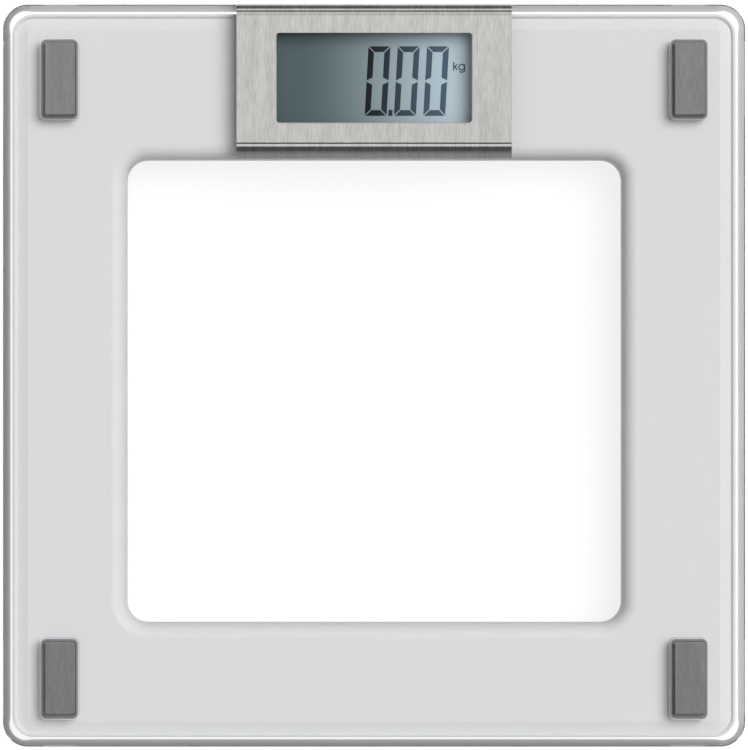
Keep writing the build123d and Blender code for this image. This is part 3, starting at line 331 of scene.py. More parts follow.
@dataclass(frozen=True)
class SoftRubber:
    """Rubber, foam, vinyl or cured resin: dull or half dull, with a fine skin."""

    name: str
    colour: str
    roughness: float
    grain: float = 0.6
    speckle: float = 0.08
    ior: float = 1.52
    bump: float = 0.4
    relief: float = 0.03

    def make(self) -> Material:
        """Makes the material.

        Returns:
            The new material.
        """
        material, tree, place = new_tree(self.name)
        tone = mottle(tree, place, self.grain, 1 - self.speckle, 1 + self.speckle, detail=3.0)
        height = mottle(tree, place, self.grain, 0, 1)
        bump = add_node(
            tree,
            "ShaderNodeBump",
            {"Strength": self.bump, "Distance": self.relief * MM, "Height": height},
        )
        shader = add_node(
            tree,
            "ShaderNodeBsdfPrincipled",
            {
                "Base Color": shaded(tree, linear(self.colour), tone),
                "Roughness": self.roughness,
                "IOR": self.ior,
                "Normal": bump.outputs[0],
            },
        )
        finish_tree(tree, shader.outputs[0])
        return material


@dataclass(frozen=True)
class ClearGlass:
    """Soda-lime float glass, toughened, its edge ground round and polished."""

    name: str
    tint: str
    ior: float = 1.52
    haze: float = 0.004
    haze_cloud: float = 40.0
    tint_drop: float = 0.008
    tint_cloud: float = 90.0

    def make(self) -> Material:
        """Makes the material; a trace of haze stands for handling.

        Returns:
            The new material.
        """
        material, tree, place = new_tree(self.name)
        tone = mottle(tree, place, self.tint_cloud, 1 - self.tint_drop, 1.0)
        shader = add_node(
            tree,
            "ShaderNodeBsdfPrincipled",
            {
                "Base Color": shaded(tree, linear(self.tint), tone),
                "Roughness": mottle(tree, place, self.haze_cloud, 0.0, self.haze),
                "IOR": self.ior,
                "Transmission Weight": 1.0,
            },
        )
        finish_tree(tree, shader.outputs[0])
        return material


@dataclass(frozen=True)
class DisplayFilm:
    """The display cell's polariser over its reflector, and its dark crystal, each darker at one end
    and paler at the other. On the film this is painted shade and reflection.
    """

    name: str
    left: str
    right: str
    reach: float
    middle: float
    roughness: float
    ior: float = 1.5
    grain: float = 0.8
    speckle: float = 0.015

    def make(self) -> Material:
        """Makes the material; the tone turns smoothly along X, on the film as painted shade and
        reflection, with a faint reflector grain.

        Returns:
            The new material.
        """
        material, tree, place = new_tree(self.name)
        parts = add_node(tree, "ShaderNodeSeparateXYZ", {"Vector": place})
        # On the film this turn from the left colour to the right one is painted shade and
        # reflection.
        share = add_node(
            tree,
            "ShaderNodeMapRange",
            {
                "Value": parts.outputs["X"],
                "From Min": (self.middle - self.reach) * MM,
                "From Max": (self.middle + self.reach) * MM,
            },
            interpolation_type="SMOOTHSTEP",
        )
        blend = add_node(
            tree,
            "ShaderNodeMix",
            {0: share.outputs[0], 6: linear(self.left), 7: linear(self.right)},
            data_type="RGBA",
        )
        grain = mottle(tree, place, self.grain, 1 - self.speckle, 1 + self.speckle)
        toned = shaded(tree, blend.outputs[2], grain)
        shader = add_node(
            tree,
            "ShaderNodeBsdfPrincipled",
            {"Base Color": toned, "Roughness": self.roughness, "IOR": self.ior},
        )
        finish_tree(tree, shader.outputs[0])
        return material


Finish = MouldedPlastic | BrushedMetal | PlainMetal | SoftRubber | ClearGlass | DisplayFilm

# Frame: moulded ABS, light satin grey
FRAME_ABS = MouldedPlastic("satin_grey_abs", "#E7E7E8", roughness=0.42, speckle=0.02, grain=0.6)
# Base cover, display housing and battery door: moulded ABS, a duller and darker grey
BASE_ABS = MouldedPlastic("light_grey_abs", "#C9CACB", roughness=0.5)
# Load cell trays and display holder: moulded nylon, off-white and waxy
TRAY_NYLON = MouldedPlastic("natural_nylon", "#D8D5CB", roughness=0.38)
# Feet: moulded ABS, mid grey
FOOT_ABS = MouldedPlastic("mid_grey_abs", "#9A9C9E", roughness=0.5)
# Unit switch: moulded nylon, near black
SWITCH_NYLON = MouldedPlastic("black_nylon", "#26272A", roughness=0.4)
# Wire sockets: moulded nylon, ivory
SOCKET_NYLON = MouldedPlastic("ivory_nylon", "#E2DCC8", roughness=0.4)
# Display cover: aluminium sheet, brushed from front to rear and clear anodised
COVER_ALUMINIUM = BrushedMetal("brushed_aluminium", "#F4F3F0", 0.33, anisotropy=0.75)
# Corner plates: stainless steel, brushed the same way, darker and a little closer in gloss
PLATE_STEEL = BrushedMetal("brushed_stainless_steel", "#A6A8A6", 0.3)
# Load cells: spring steel, zinc plated
SPRING_STEEL = PlainMetal("zinc_plated_spring_steel", "#B9BBB8", 0.32)
# Screws and nuts: zinc-plated carbon steel
FASTENER_STEEL = PlainMetal("zinc_plated_screw_steel", "#A9ABAC", 0.3, cloud=2.0)
# Coin cell and battery contacts: nickel-plated steel
NICKEL = PlainMetal("nickel_plate", "#CFCBC2", 0.22, cloud=8.0)
# Crystal's can: drawn aluminium
CAN_ALUMINIUM = PlainMetal("drawn_aluminium", "#C9CBCE", 0.28)
# Corner plates' seals: moulded nitrile rubber, grey
SEAL_RUBBER = SoftRubber("grey_nitrile_rubber", "#85878B", 0.55)
# Foot pads: a softer, darker thermoplastic rubber
PAD_RUBBER = SoftRubber("grey_foot_rubber", "#5C5E60", 0.75)
# Contact strips: layered conductive and plain silicone rubber
ZEBRA_RUBBER = SoftRubber("contact_strip_rubber", "#3A3230", 0.6, grain=0.3, speckle=0.3)
# Display gasket: closed-cell foam, black
FOAM = SoftRubber("black_foam", "#17181A", 0.9, grain=0.8)
# Tape between the cover and the glass: black foam tape
TAPE = SoftRubber("black_tape", "#1C1C1E", 0.7)
# Sensor wires' sheath: soft vinyl, grey
WIRE_VINYL = SoftRubber("grey_wire_vinyl", "#8D8F92", 0.45)
# Chip: a drop of black epoxy resin
CHIP_RESIN = SoftRubber("black_chip_resin", "#121214", 0.35)
# Strain gauges: white sealing compound over the gauge
GAUGE_RESIN = SoftRubber("white_sealing_compound", "#DEDDD7", 0.5, speckle=0.03)
# Circuit board: glass-fibre laminate under green lacquer
LAMINATE = SoftRubber("green_board_laminate", "#2E6B45", 0.4, grain=0.4, speckle=0.12)
# Capacitors' sleeve: shrunk vinyl, near black
CAPACITOR_SLEEVE = SoftRubber("capacitor_sleeve_vinyl", "#23262E", 0.4)
# Platform: clear float glass, almost without tint
GLASS = ClearGlass("clear_float_glass", "#FDFEFE")
# Display cell: polarising film over a reflector, darker at the left and paler at the right as
# painted shade and reflection
LCD_FILM = DisplayFilm("display_film", "#4F6164", "#D2E6F0", reach=46, middle=13, roughness=0.2)
# Lit bars and unit letters: liquid crystal turned dark, a little paler towards the right
LCD_INK = DisplayFilm(
    "display_dark_crystal", "#02050C", "#4B5F71", reach=18, middle=12, roughness=0.12
)

# The finish of each CAD node that is shown as it is. The four corners' nodes share a name here.
NODE_FINISH: dict[str, Finish] = {
    "base_cover": BASE_ABS,
    "base_screws": FASTENER_STEEL,
    "plate_nuts": FASTENER_STEEL,
    "tray_screws": FASTENER_STEEL,
    "cover_screws": FASTENER_STEEL,
    "housing_screws": FASTENER_STEEL,
    "board_screws": FASTENER_STEEL,
    "load_cell": SPRING_STEEL,
    "cell_tray": TRAY_NYLON,
    "strain_gauge": GAUGE_RESIN,
    "foot_pad": PAD_RUBBER,
    "foot": FOOT_ABS,
    "sensor_wire": WIRE_VINYL,
    "cover_tape": TAPE,
    "display_housing": BASE_ABS,
    "lcd_cell": LCD_FILM,
    "lcd_segments": LCD_INK,
    "lcd_gasket": FOAM,
    "lcd_holder": TRAY_NYLON,
    "zebra_strips": ZEBRA_RUBBER,
    "circuit_board": LAMINATE,
    "chip_blob": CHIP_RESIN,
    "crystal_can": CAN_ALUMINIUM,
    "capacitors": CAPACITOR_SLEEVE,
    "wire_headers": SOCKET_NYLON,
    "coin_cell": NICKEL,
    "battery_contact_spring": NICKEL,
    "battery_contact_side": NICKEL,
    "battery_door": BASE_ABS,
    "unit_switch_body": SWITCH_NYLON,
    "unit_switch_slider": SWITCH_NYLON,
}


@dataclass
class Workshop:
    """Makes each material once and puts finished meshes in the scene."""

    made: dict[str, Material] = field(default_factory=dict)

    def material(self, finish: Finish) -> Material:
        """Gives a finish's material, made on first use.

        Args:
            finish: the finish.

        Returns:
            Its material.
        """
        if finish.name not in self.made:
            self.made[finish.name] = finish.make()
        return self.made[finish.name]

    def to_metres(self, mesh: EditMesh) -> None:
        """Turns a mesh in millimetres to metres, with its faces turned outward."""
        bmesh.ops.recalc_face_normals(mesh, faces=mesh.faces)
        bmesh.ops.scale(mesh, vec=(MM, MM, MM), verts=mesh.verts)

    def add_object(self, name: str, mesh: EditMesh) -> bpy.types.Object:
        """Puts a mesh in the scene.

        Args:
            name: the object's name.
            mesh: the mesh, which is used up.

        Returns:
            The new object.
        """
        data = bpy.data.meshes.new(name)
        mesh.to_mesh(data)
        mesh.free()
        result = bpy.data.objects.new(name, data)
        bpy.context.collection.objects.link(result)
        return result

    def piece(
        self, name: str, mesh: EditMesh, finish: Finish, *stands_for: str, crease: float = CREASE
    ) -> bpy.types.Object:
        """Turns a mesh in millimetres to a finished piece that rides on the platform.

        Args:
            name: the piece's name.
            mesh: the mesh, which is used up.
            finish: the finish that it is given.
            stands_for: the CAD nodes that the piece is shown in place of.
            crease: the turn in degrees from which an edge is shaded sharp.

        Returns:
            The new object.
        """
        self.to_metres(mesh)
        drawn = mesh.loops.layers.uv.new("drawn")
        for face in mesh.faces:
            for corner in face.loops:
                x, y, z = corner.vert.co
                corner[drawn].uv = (x + LEAN_X * z, y + LEAN_Y * z)
        result = self.add_object(name, mesh)
        result.data.materials.append(self.material(finish))
        self.smooth(result.data, crease)
        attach(result, BODY)
        if stands_for:
            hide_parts(*stands_for)
        log.info("%s: %d faces", name, len(result.data.polygons))
        return result

    def smooth(self, data: bpy.types.Mesh, crease: float) -> None:
        """Shades a mesh smooth but for its corners."""
        data.shade_smooth()
        data.set_sharp_from_angle(angle=math.radians(crease))

    def cut(self, target: bpy.types.Object, cutter: EditMesh, crease: float = CREASE) -> None:
        """Takes a shape in millimetres away from a piece.

        Args:
            target: the piece.
            cutter: the shape, which is used up.
            crease: the turn in degrees from which an edge is shaded sharp.
        """
        self.to_metres(cutter)
        shape = self.add_object("cutter", cutter)
        step = target.modifiers.new("cut", "BOOLEAN")
        step.operation = "DIFFERENCE"
        step.solver = "EXACT"
        step.object = shape
        graph = bpy.context.evaluated_depsgraph_get()
        result = bpy.data.meshes.new_from_object(target.evaluated_get(graph))
        target.modifiers.clear()
        target.data = result
        bpy.data.objects.remove(shape)
        self.smooth(result, crease)


def rounded_loop(
    width: float,
    depth: float,
    corner: float,
    z: float,
    x: float = 0.0,
    y: float = 0.0,
    steps: int = 14,
) -> Loop:
    """The outline of a rounded rectangle.

    Args:
        width: the size along X.
        depth: the size along Y.
        corner: the corners' radius.
        z: the outline's height.
        x: the middle in X.
        y: the middle in Y.
        steps: how many edges each corner has.

    Returns:
        Its points, anticlockwise from above.
    """
    points = []
    for quarter, (side_x, side_y) in enumerate(((1, 1), (-1, 1), (-1, -1), (1, -1))):
        middle_x = x + side_x * (width / 2 - corner)
        middle_y = y + side_y * (depth / 2 - corner)
        for step in range(steps + 1):
            angle = math.radians(90 * (quarter + step / steps))
            point = (middle_x + corner * math.cos(angle), middle_y + corner * math.sin(angle), z)
            points.append(Vector(point))
    return points


def add_loft(mesh: EditMesh, loops: list[Loop], closed: bool = False) -> list[Ring]:
    """Adds the surface that runs through outlines with as many points each.

    Args:
        mesh: the mesh that grows.
        loops: the outlines in order.
        closed: whether the last outline joins the first.

    Returns:
        The points of every outline in the mesh.
    """
    rings = [[mesh.verts.new(point) for point in loop] for loop in loops]
    pairs = list(zip(rings, rings[1:]))
    if closed:
        pairs.append((rings[-1], rings[0]))
    for low, high in pairs:
        count = len(low)
        for at in range(count):
            after = (at + 1) % count
            mesh.faces.new((low[at], low[after], high[after], high[at]))
    return rings


def add_cap(mesh: EditMesh, *rings: Ring) -> None:
    """Fills the flat area between an outline and the outlines of its holes.

    Args:
        mesh: the mesh that grows.
        rings: the outline's points in the mesh, and those of each hole.
    """
    edges = []
    for ring in rings:
        for at, vert in enumerate(ring):
            other = ring[(at + 1) % len(ring)]
            edges.append(mesh.edges.get((vert, other)) or mesh.edges.new((vert, other)))
    bmesh.ops.triangle_fill(mesh, use_beauty=True, edges=edges)


def add_column(mesh: EditMesh, loops: list[Loop]) -> None:
    """Adds a closed solid that runs through outlines, its ends filled.

    Args:
        mesh: the mesh that grows.
        loops: the outlines in order.
    """
    rings = add_loft(mesh, loops)
    add_cap(mesh, rings[0])
    add_cap(mesh, rings[-1])


def add_disc(
    mesh: EditMesh, x: float, y: float, radius: float, low: float, high: float, steps: int = 32
) -> None:
    """Adds an upright cylinder.

    Args:
        mesh: the mesh that grows.
        x: the axis in X.
        y: the axis in Y.
        radius: the radius.
        low: the height of the foot.
        high: the height of the top.
        steps: how many sides it has.
    """
    turns = [2 * math.pi * step / steps for step in range(steps)]
    plan = [(x + radius * math.cos(turn), y + radius * math.sin(turn)) for turn in turns]
    add_column(mesh, [[Vector((*point, z)) for point in plan] for z in (low, high)])


def add_block(
    mesh: EditMesh,
    x_low: float,
    x_high: float,
    y_low: float,
    y_high: float,
    low: float,
    high: float,
) -> None:
    """Adds an upright box between two limits along each axis."""
    plan = ((x_low, y_low), (x_high, y_low), (x_high, y_high), (x_low, y_high))
    add_column(mesh, [[Vector((*point, z)) for point in plan] for z in (low, high)])


def arc_steps(radius: float, steps: int) -> list[Point]:
    """How a rounded edge turns from upright to flat.

    Args:
        radius: the edge's radius.
        steps: how many facets the edge has.

    Returns:
        The step inward and the rise at each point, from the upright side up.
    """
    turns = [math.pi / 2 * step / steps for step in range(steps + 1)]
    return [(radius * (1 - math.cos(turn)), radius * math.sin(turn)) for turn in turns]


@dataclass
class CornerPlates:
    """The four brushed plates and the holes that they stand in."""

    x: float = 127.1
    rear_y: float = 119.6
    front_y: float = 122.4
    width: float = 12.9
    length: float = 30.1
    corner: float = 1.2
    corner_steps: int = 8
    bevel_run: float = 0.85
    bevel_drop: float = 0.45
    softened: float = 0.08
    support: float = 0.1
    low: float = 28.0
    high: float = 35.0
    stud: float = 1.5
    stud_pitch: float = 14.0
    stud_low: float = 22.8
    hole_width: float = 15.1
    hole_length: float = 32.3
    hole_corner: float = 2.25

    def places(self) -> dict[Corner, Point]:
        """Where each plate stands in plan.

        Returns:
            The middle of the plate at each corner.
        """
        return {
            Corner.FRONT_LEFT: (-self.x, -self.front_y),
            Corner.FRONT_RIGHT: (self.x, -self.front_y),
            Corner.REAR_LEFT: (-self.x, self.rear_y),
            Corner.REAR_RIGHT: (self.x, self.rear_y),
        }

    def studs(self, x: float, y: float) -> list[Point]:
        """Where the two studs of the plate at a place stand in plan."""
        return [(x, y + side * self.stud_pitch / 2) for side in (-1, 1)]

    def outline(self, x: float, y: float, inset: float, z: float) -> Loop:
        """The outline of the plate at a place, a step inside its own."""
        width, length = self.width - 2 * inset, self.length - 2 * inset
        return rounded_loop(width, length, self.corner - inset, z, x, y, self.corner_steps)

    def hole(self, x: float, y: float, grown: float, z: float) -> Loop:
        """The outline of a plate's hole in the glass, a step outside its own."""
        width, length = self.hole_width + 2 * grown, self.hole_length + 2 * grown
        return rounded_loop(width, length, self.hole_corner + grown, z, x, y, self.corner_steps)

    def section(self) -> list[Point]:
        """A plate's side and bevel, whose two edges are softened.

        Returns:
            The step inward and the height of each outline, from the foot up.
        """
        edge = self.high - self.bevel_drop
        soft = self.softened
        return [
            (0, self.low),
            (0, edge - self.support),
            (soft / 4, edge - soft / 4),
            (soft, edge + soft / 2),
            (self.bevel_run - soft, edge + (self.bevel_drop - soft / 2)),
            (self.bevel_run, self.high),
            (self.bevel_run + self.support, self.high),
        ]

    def build(self, shop: Workshop) -> None:
        """Makes the four plates on their studs.

        Args:
            shop: where the pieces are made.
        """
        for corner, (x, y) in self.places().items():
            mesh = bmesh.new()
            add_column(mesh, [self.outline(x, y, inset, z) for inset, z in self.section()])
            for stud_x, stud_y in self.studs(x, y):
                add_disc(mesh, stud_x, stud_y, self.stud, self.stud_low, self.low)
            place = corner.value
            shop.piece(f"brushed_plate_{place}", mesh, PLATE_STEEL, f"corner_plate_{place}")


@dataclass
class PlateSeals:
    """The four moulded seals between the corner plates and the glass."""

    low: float = 28.0
    high: float = 33.7
    fit: float = 0.05
    flange: float = 0.3
    flange_high: float = 28.27
    lip: float = 0.3
    round_share: float = 0.3

    def build(self, shop: Workshop, plates: CornerPlates) -> None:
        """Makes the seals, each a closed ring round its plate with a round top.

        Args:
            shop: where the pieces are made.
            plates: the plates and holes that the seals fit.
        """
        short = self.round_share * self.lip
        half_lip = self.fit + short
        full_lip = self.fit + self.lip
        for corner, (x, y) in plates.places().items():
            mesh = bmesh.new()
            loops = [
                plates.outline(x, y, -self.fit, self.low),
                plates.hole(x, y, self.flange, self.low),
                plates.hole(x, y, self.flange, self.flange_high),
                plates.hole(x, y, -self.fit, self.flange_high),
                plates.hole(x, y, -self.fit, self.high - self.lip),
                plates.hole(x, y, -half_lip, self.high - short),
                plates.hole(x, y, -full_lip, self.high),
                plates.outline(x, y, -full_lip, self.high),
                plates.outline(x, y, -half_lip, self.high - short),
                plates.outline(x, y, -self.fit, self.high - self.lip),
            ]
            add_loft(mesh, loops, closed=True)
            place = corner.value
            shop.piece(f"moulded_seal_{place}", mesh, SEAL_RUBBER, f"plate_seal_{place}")


@dataclass
class Platform:
    """The clear glass plate."""

    side: float = 300.0
    corner: float = 10.0
    corner_steps: int = 24
    low: float = 28.3
    high: float = 34.3
    edge: float = 2.8
    edge_run: float = 3.7
    facets: int = 12
    support: float = 0.3
    hole_break: float = 0.4
    notch_half: float = 55.7
    notch_front: float = 149.0
    notch_past: float = 5.0
    past: float = 1.0

    def outline(self, inset: float, z: float) -> Loop:
        """The plate's outline, a step inside its own."""
        side = self.side - 2 * inset
        return rounded_loop(side, side, self.corner - inset, z, steps=self.corner_steps)

    def notch(self) -> EditMesh:
        """The shape that cuts the notch for the display cover.

        Returns:
            A block that reaches past the glass.
        """
        mesh = bmesh.new()
        half = self.notch_half
        rear = self.side / 2 + self.notch_past
        low, high = self.low - self.past, self.high + self.past
        add_block(mesh, -half, half, self.notch_front, rear, low, high)
        return mesh

    def build(self, shop: Workshop, plates: CornerPlates) -> None:
        """Makes the plate with its round edge, four holes and the notch for the display cover.

        Args:
            shop: where the piece is made.
            plates: the plates whose holes it has.
        """
        mesh = bmesh.new()
        wider = self.edge_run / self.edge
        rise = [(inset * wider, up) for inset, up in arc_steps(self.edge, self.facets)]
        loops = [self.outline(self.edge_run + self.support, self.low)]
        loops += [self.outline(inset, self.low + self.edge - up) for inset, up in reversed(rise)]
        loops += [self.outline(inset, self.high - self.edge + up) for inset, up in rise]
        loops.append(self.outline(self.edge_run + self.support, self.high))
        rings = add_loft(mesh, loops)
        lows, highs = [rings[0]], [rings[-1]]
        for x, y in plates.places().values():
            walls = [
                plates.hole(x, y, 0, self.low),
                plates.hole(x, y, 0, self.high - self.hole_break),
                plates.hole(x, y, self.hole_break, self.high),
            ]
            hole = add_loft(mesh, walls)
            lows.append(hole[0])
            highs.append(hole[-1])
        add_cap(mesh, *lows)
        add_cap(mesh, *highs)
        glass = shop.piece("clear_platform", mesh, GLASS, "platform_glass")
        shop.cut(glass, self.notch())
        glass.visible_shadow = False
        glass.visible_diffuse = False


@dataclass
class CarrierFrame:
    """The moulded ring under the glass, a hollow channel open below."""

    half: float = 146.2
    corner: float = 8.5
    corner_steps: int = 16
    window_x: float = 100.5
    window_front: float = -100.35
    window_rear: float = 87.6
    window_corner: float = 8.5
    rim: float = 0.4
    rim_top: float = 1.0
    rim_slope: float = 0.8
    rim_facets: int = 3
    shoulder_run: float = 4.4
    shoulder_drop: float = 1.0
    lip: float = 6.0
    facets: int = 12
    wall: float = 2.4
    wall_facets: int = 4
    low: float = 12.0
    high: float = 28.0
    support: float = 0.3
    softened: float = 0.1
    opening_half: float = 48.8
    opening_front: float = 94.3
    opening_rear: float = 143.8
    stud_clearance: float = 0.25
    past: float = 2.0

    def outer(self, inset: float, z: float) -> Loop:
        """The ring's outer outline, a step inside its own."""
        side = 2 * (self.half - inset)
        return rounded_loop(side, side, self.corner - inset, z, steps=self.corner_steps)

    def inner(self, inset: float, z: float) -> Loop:
        """The window's outline, a step into the ring.

        Args:
            inset: the step.
            z: the outline's height.

        Returns:
            Its points.
        """
        width = 2 * (self.window_x + inset)
        depth = self.window_rear - self.window_front + 2 * inset
        middle = (self.window_rear + self.window_front) / 2
        corner = self.window_corner + inset
        return rounded_loop(width, depth, corner, z, 0, middle, self.corner_steps)

    def valley(self) -> list[Loop]:
        """The raised rim's inner side and the shoulder that slopes up to the flat.

        Returns:
            The outlines, from the rim inward.
        """
        soft = self.softened
        foot = self.rim_top + self.rim_slope
        low = self.high - self.shoulder_drop
        steep = self.shoulder_drop / self.rim_slope
        gentle = self.shoulder_drop / self.shoulder_run
        points = [(self.rim_top - step, self.high) for step in (2 * soft, soft)]
        points += [(self.rim_top + step, self.high - step * steep) for step in (soft, 2 * soft)]
        points += [(foot - step, low + step * steep) for step in (2 * soft, soft)]
        points += [(foot + step, low + step * gentle) for step in (soft, 2 * soft)]
        crest = foot + self.shoulder_run
        points += [(crest - step, self.high - step * gentle) for step in (2 * soft, soft)]
        points += [(crest + step, self.high) for step in (soft, 2 * soft)]
        return [self.outer(inset, z) for inset, z in points]

    def section(self) -> list[Loop]:
        """The channel's section.

        Returns:
            The outlines, once round the section.
        """
        skin = self.high - self.wall
        roll = arc_steps(self.lip, self.facets)
        near = arc_steps(self.lip - self.wall, self.wall_facets)
        edge = arc_steps(self.rim, self.rim_facets)
        loops = [self.outer(inset, self.low + self.rim - up) for inset, up in reversed(edge)]
        loops += [self.outer(inset, self.high - self.rim + up) for inset, up in edge]
        loops += self.valley()
        loops.append(self.inner(self.lip + self.support, self.high))
        loops += [self.inner(inset, self.high - self.lip + up) for inset, up in reversed(roll)]
        loops += [self.inner(inset, self.low + self.rim - up) for inset, up in edge]
        loops.append(self.inner(self.wall, self.low))
        turn_from = skin - self.lip + self.wall
        loops += [self.inner(self.wall + inset, turn_from + up) for inset, up in near]
        loops += [self.outer(self.wall, skin), self.outer(self.wall, self.low)]
        return loops

    def build(self, shop: Workshop, plates: CornerPlates) -> None:
        """Makes the ring, open for the display housing and the studs.

        Args:
            shop: where the piece is made.
            plates: the plates whose studs pass through it.
        """
        mesh = bmesh.new()
        add_loft(mesh, self.section(), closed=True)
        ring = shop.piece("moulded_ring", mesh, FRAME_ABS, "carrier_frame")
        tool = bmesh.new()
        half = self.opening_half
        low, high = self.high - self.wall - self.past, self.high + self.past
        add_block(tool, -half, half, self.opening_front, self.opening_rear, low, high)
        for x, y in plates.places().values():
            for stud_x, stud_y in plates.studs(x, y):
                add_disc(tool, stud_x, stud_y, plates.stud + self.stud_clearance, low, high)
        shop.cut(ring, tool)


@dataclass
class DisplayCover:
    """The brushed cover over the display, bent down behind the glass and hooked under the frame.

    Each groove is given by where it starts to fall, its foot and its top in Y, and its depth.
    """

    half: float = 55.5
    front: float = 87.6
    rear: float = 150.0
    low: float = 34.5
    high: float = 36.4
    nose_run: float = 4.8
    nose_drop: float = 1.55
    nose_lean: float = 9.0
    bend: float = 0.6
    wall: float = 0.8
    hook_low: float = 11.0
    hook_reach: float = 14.0
    grooves: tuple[tuple[float, float, float, float], ...] = (
        (92.85, 93.36, 94.0, 0.11),
        (145.2, 145.4, 146.2, 0.08),
        (146.4, 146.65, 147.32, 0.113),
        (147.75, 148.0, 149.25, 0.23),
    )
    view_width: float = 78.8
    view_depth: float = 36.2
    view_y: float = 120.15
    view_corner: float = 1.2
    view_corner_steps: int = 8
    view_chamfer: float = 0.4
    past: float = 1.0
    sharp_from: float = 25.0
    softened: float = 0.07
    softened_steps: int = 2
    crease: float = 8.0

    def nose(self, facets: int = 12) -> list[Point]:
        """The round nose, from its tip up to the crease where the flat top begins.

        Args:
            facets: how many facets it has.

        Returns:
            Its points in the side view.
        """
        first = math.radians(self.nose_lean)
        last = 2 * math.atan2(self.nose_drop, self.nose_run) - first
        radius = self.nose_run / (math.sin(last) - math.sin(first))
        middle_y = self.front + self.nose_run + radius * math.sin(first)
        middle_z = self.high - radius * math.cos(first)
        turns = [last + (first - last) * step / facets for step in range(facets + 1)]
        return [
            (middle_y - radius * math.sin(turn), middle_z + radius * math.cos(turn))
            for turn in turns
        ]

    def bent(
        self, y: float, z: float, radius: float, start: float, end: float, facets: int = 16
    ) -> list[Point]:
        """An arc about a point in the side view, between two angles in degrees."""
        turns = [math.radians(start + (end - start) * step / facets) for step in range(facets + 1)]
        return [(y + radius * math.cos(turn), z + radius * math.sin(turn)) for turn in turns]

    def profile(self) -> list[Point]:
        """The cover in the side view.

        Returns:
            The points once round it, from the tip of the nose.
        """
        points = self.nose()
        for fall, foot, top, depth in self.grooves:
            points += [(fall, self.high), (foot, self.high - depth), (top, self.high)]
        inside = self.hook_low + self.wall
        points += self.bent(self.rear - self.bend, self.high - self.bend, self.bend, 90, 0)
        points += self.bent(self.rear - self.wall, inside, self.wall, 0, -90)
        points.append((self.rear - self.hook_reach, self.hook_low))
        points.append((self.rear - self.hook_reach, inside))
        points.append((self.rear - self.wall, inside))
        points += [(self.rear - self.wall, self.low), (self.front, self.low)]
        return points

    def opening(self) -> EditMesh:
        """The shape that cuts the view of the display.

        Returns:
            A column that is flared at the top and reaches past the cover.
        """
        mesh = bmesh.new()
        section = (
            (self.low - self.past, 0.0),
            (self.high - self.view_chamfer, 0.0),
            (self.high + self.past, self.past + self.view_chamfer),
        )
        loops = []
        for z, grown in section:
            width, depth = self.view_width + 2 * grown, self.view_depth + 2 * grown
            corner, steps = self.view_corner + grown, self.view_corner_steps
            loops.append(rounded_loop(width, depth, corner, z, 0, self.view_y, steps))
        add_column(mesh, loops)
        return mesh

    def build(self, shop: Workshop) -> None:
        """Makes the cover.

        Args:
            shop: where the piece is made.
        """
        mesh = bmesh.new()
        profile = self.profile()
        loops = [[Vector((x, y, z)) for y, z in profile] for x in (-self.half, self.half)]
        for ring in add_loft(mesh, loops):
            mesh.faces.new(ring)
        sharp_from = math.radians(self.sharp_from)
        bmesh.ops.bevel(
            mesh,
            geom=[edge for edge in mesh.edges if edge.calc_face_angle(0) > sharp_from],
            offset=self.softened,
            segments=self.softened_steps,
            affect="EDGES",
            clamp_overlap=True,
        )
        cover = shop.piece("brushed_cover", mesh, COVER_ALUMINIUM, "display_cover")
        shop.cut(cover, self.opening(), self.crease)


@dataclass
class DisplayMarks:
    """The small unit letters on the display, whose strokes are flat ribbons.

    Strokes are given from the letters' own corner. A round one has its middle and its reach, each
    in X and Y.
    """

    x: float = 31.92
    base_y: float = 123.4
    weight: float = 0.5
    low: float = 27.9
    thickness: float = 0.08
    leg: tuple[Point, ...] = ((0.25, 0.0), (0.25, 3.5))
    arm: tuple[Point, ...] = ((0.4, 1.15), (1.62, 2.5))
    foot: tuple[Point, ...] = ((0.85, 1.55), (1.72, 0.1))
    bowl: tuple[float, float, float, float] = (3.46, 1.38, 1.16, 1.16)
    stem_top: Point = (4.62, 2.62)
    tail: tuple[float, float, float, float] = (3.5, 0.0, 1.12, 0.64)
    tail_end: float = -150.0

    def turned(
        self,
        centre_x: float,
        centre_y: float,
        reach_x: float,
        reach_y: float,
        end: float,
        steps: int = 24,
    ) -> list[Point]:
        """The points of a round stroke, from its right side to an angle in degrees."""
        turns = [math.radians(end * step / steps) for step in range(steps + 1)]
        return [
            (centre_x + reach_x * math.cos(turn), centre_y + reach_y * math.sin(turn))
            for turn in turns
        ]

    def ribbon(self, mesh: EditMesh, line: list[Point], closed: bool = False) -> None:
        """Adds a stroke, a flat ribbon along its middle line.

        Args:
            mesh: the mesh that grows.
            line: the middle line's points.
            closed: whether the last point joins the first.
        """
        loops, count = [], len(line)
        up = Vector((0, 0, self.thickness))
        for at, (x, y) in enumerate(line):
            before = line[at - 1] if at or closed else line[0]
            after = line[(at + 1) % count] if at + 1 < count or closed else line[-1]
            across = Vector((before[1] - after[1], after[0] - before[0], 0)).normalized()
            side = across * self.weight / 2
            middle = Vector((self.x + x, self.base_y + y, self.low))
            loops.append([middle + side, middle - side, middle - side + up, middle + side + up])
        rings = add_loft(mesh, loops, closed)
        if not closed:
            mesh.faces.new(rings[0])
            mesh.faces.new(rings[-1])

    def build(self, shop: Workshop) -> None:
        """Makes the letters on the display cell.

        Args:
            shop: where the piece is made.
        """
        mesh = bmesh.new()
        for line in (self.leg, self.arm, self.foot):
            self.ribbon(mesh, list(line))
        self.ribbon(mesh, self.turned(*self.bowl, 360)[:-1], closed=True)
        self.ribbon(mesh, [self.stem_top] + self.turned(*self.tail, self.tail_end))
        shop.piece("unit_letters", mesh, LCD_INK)


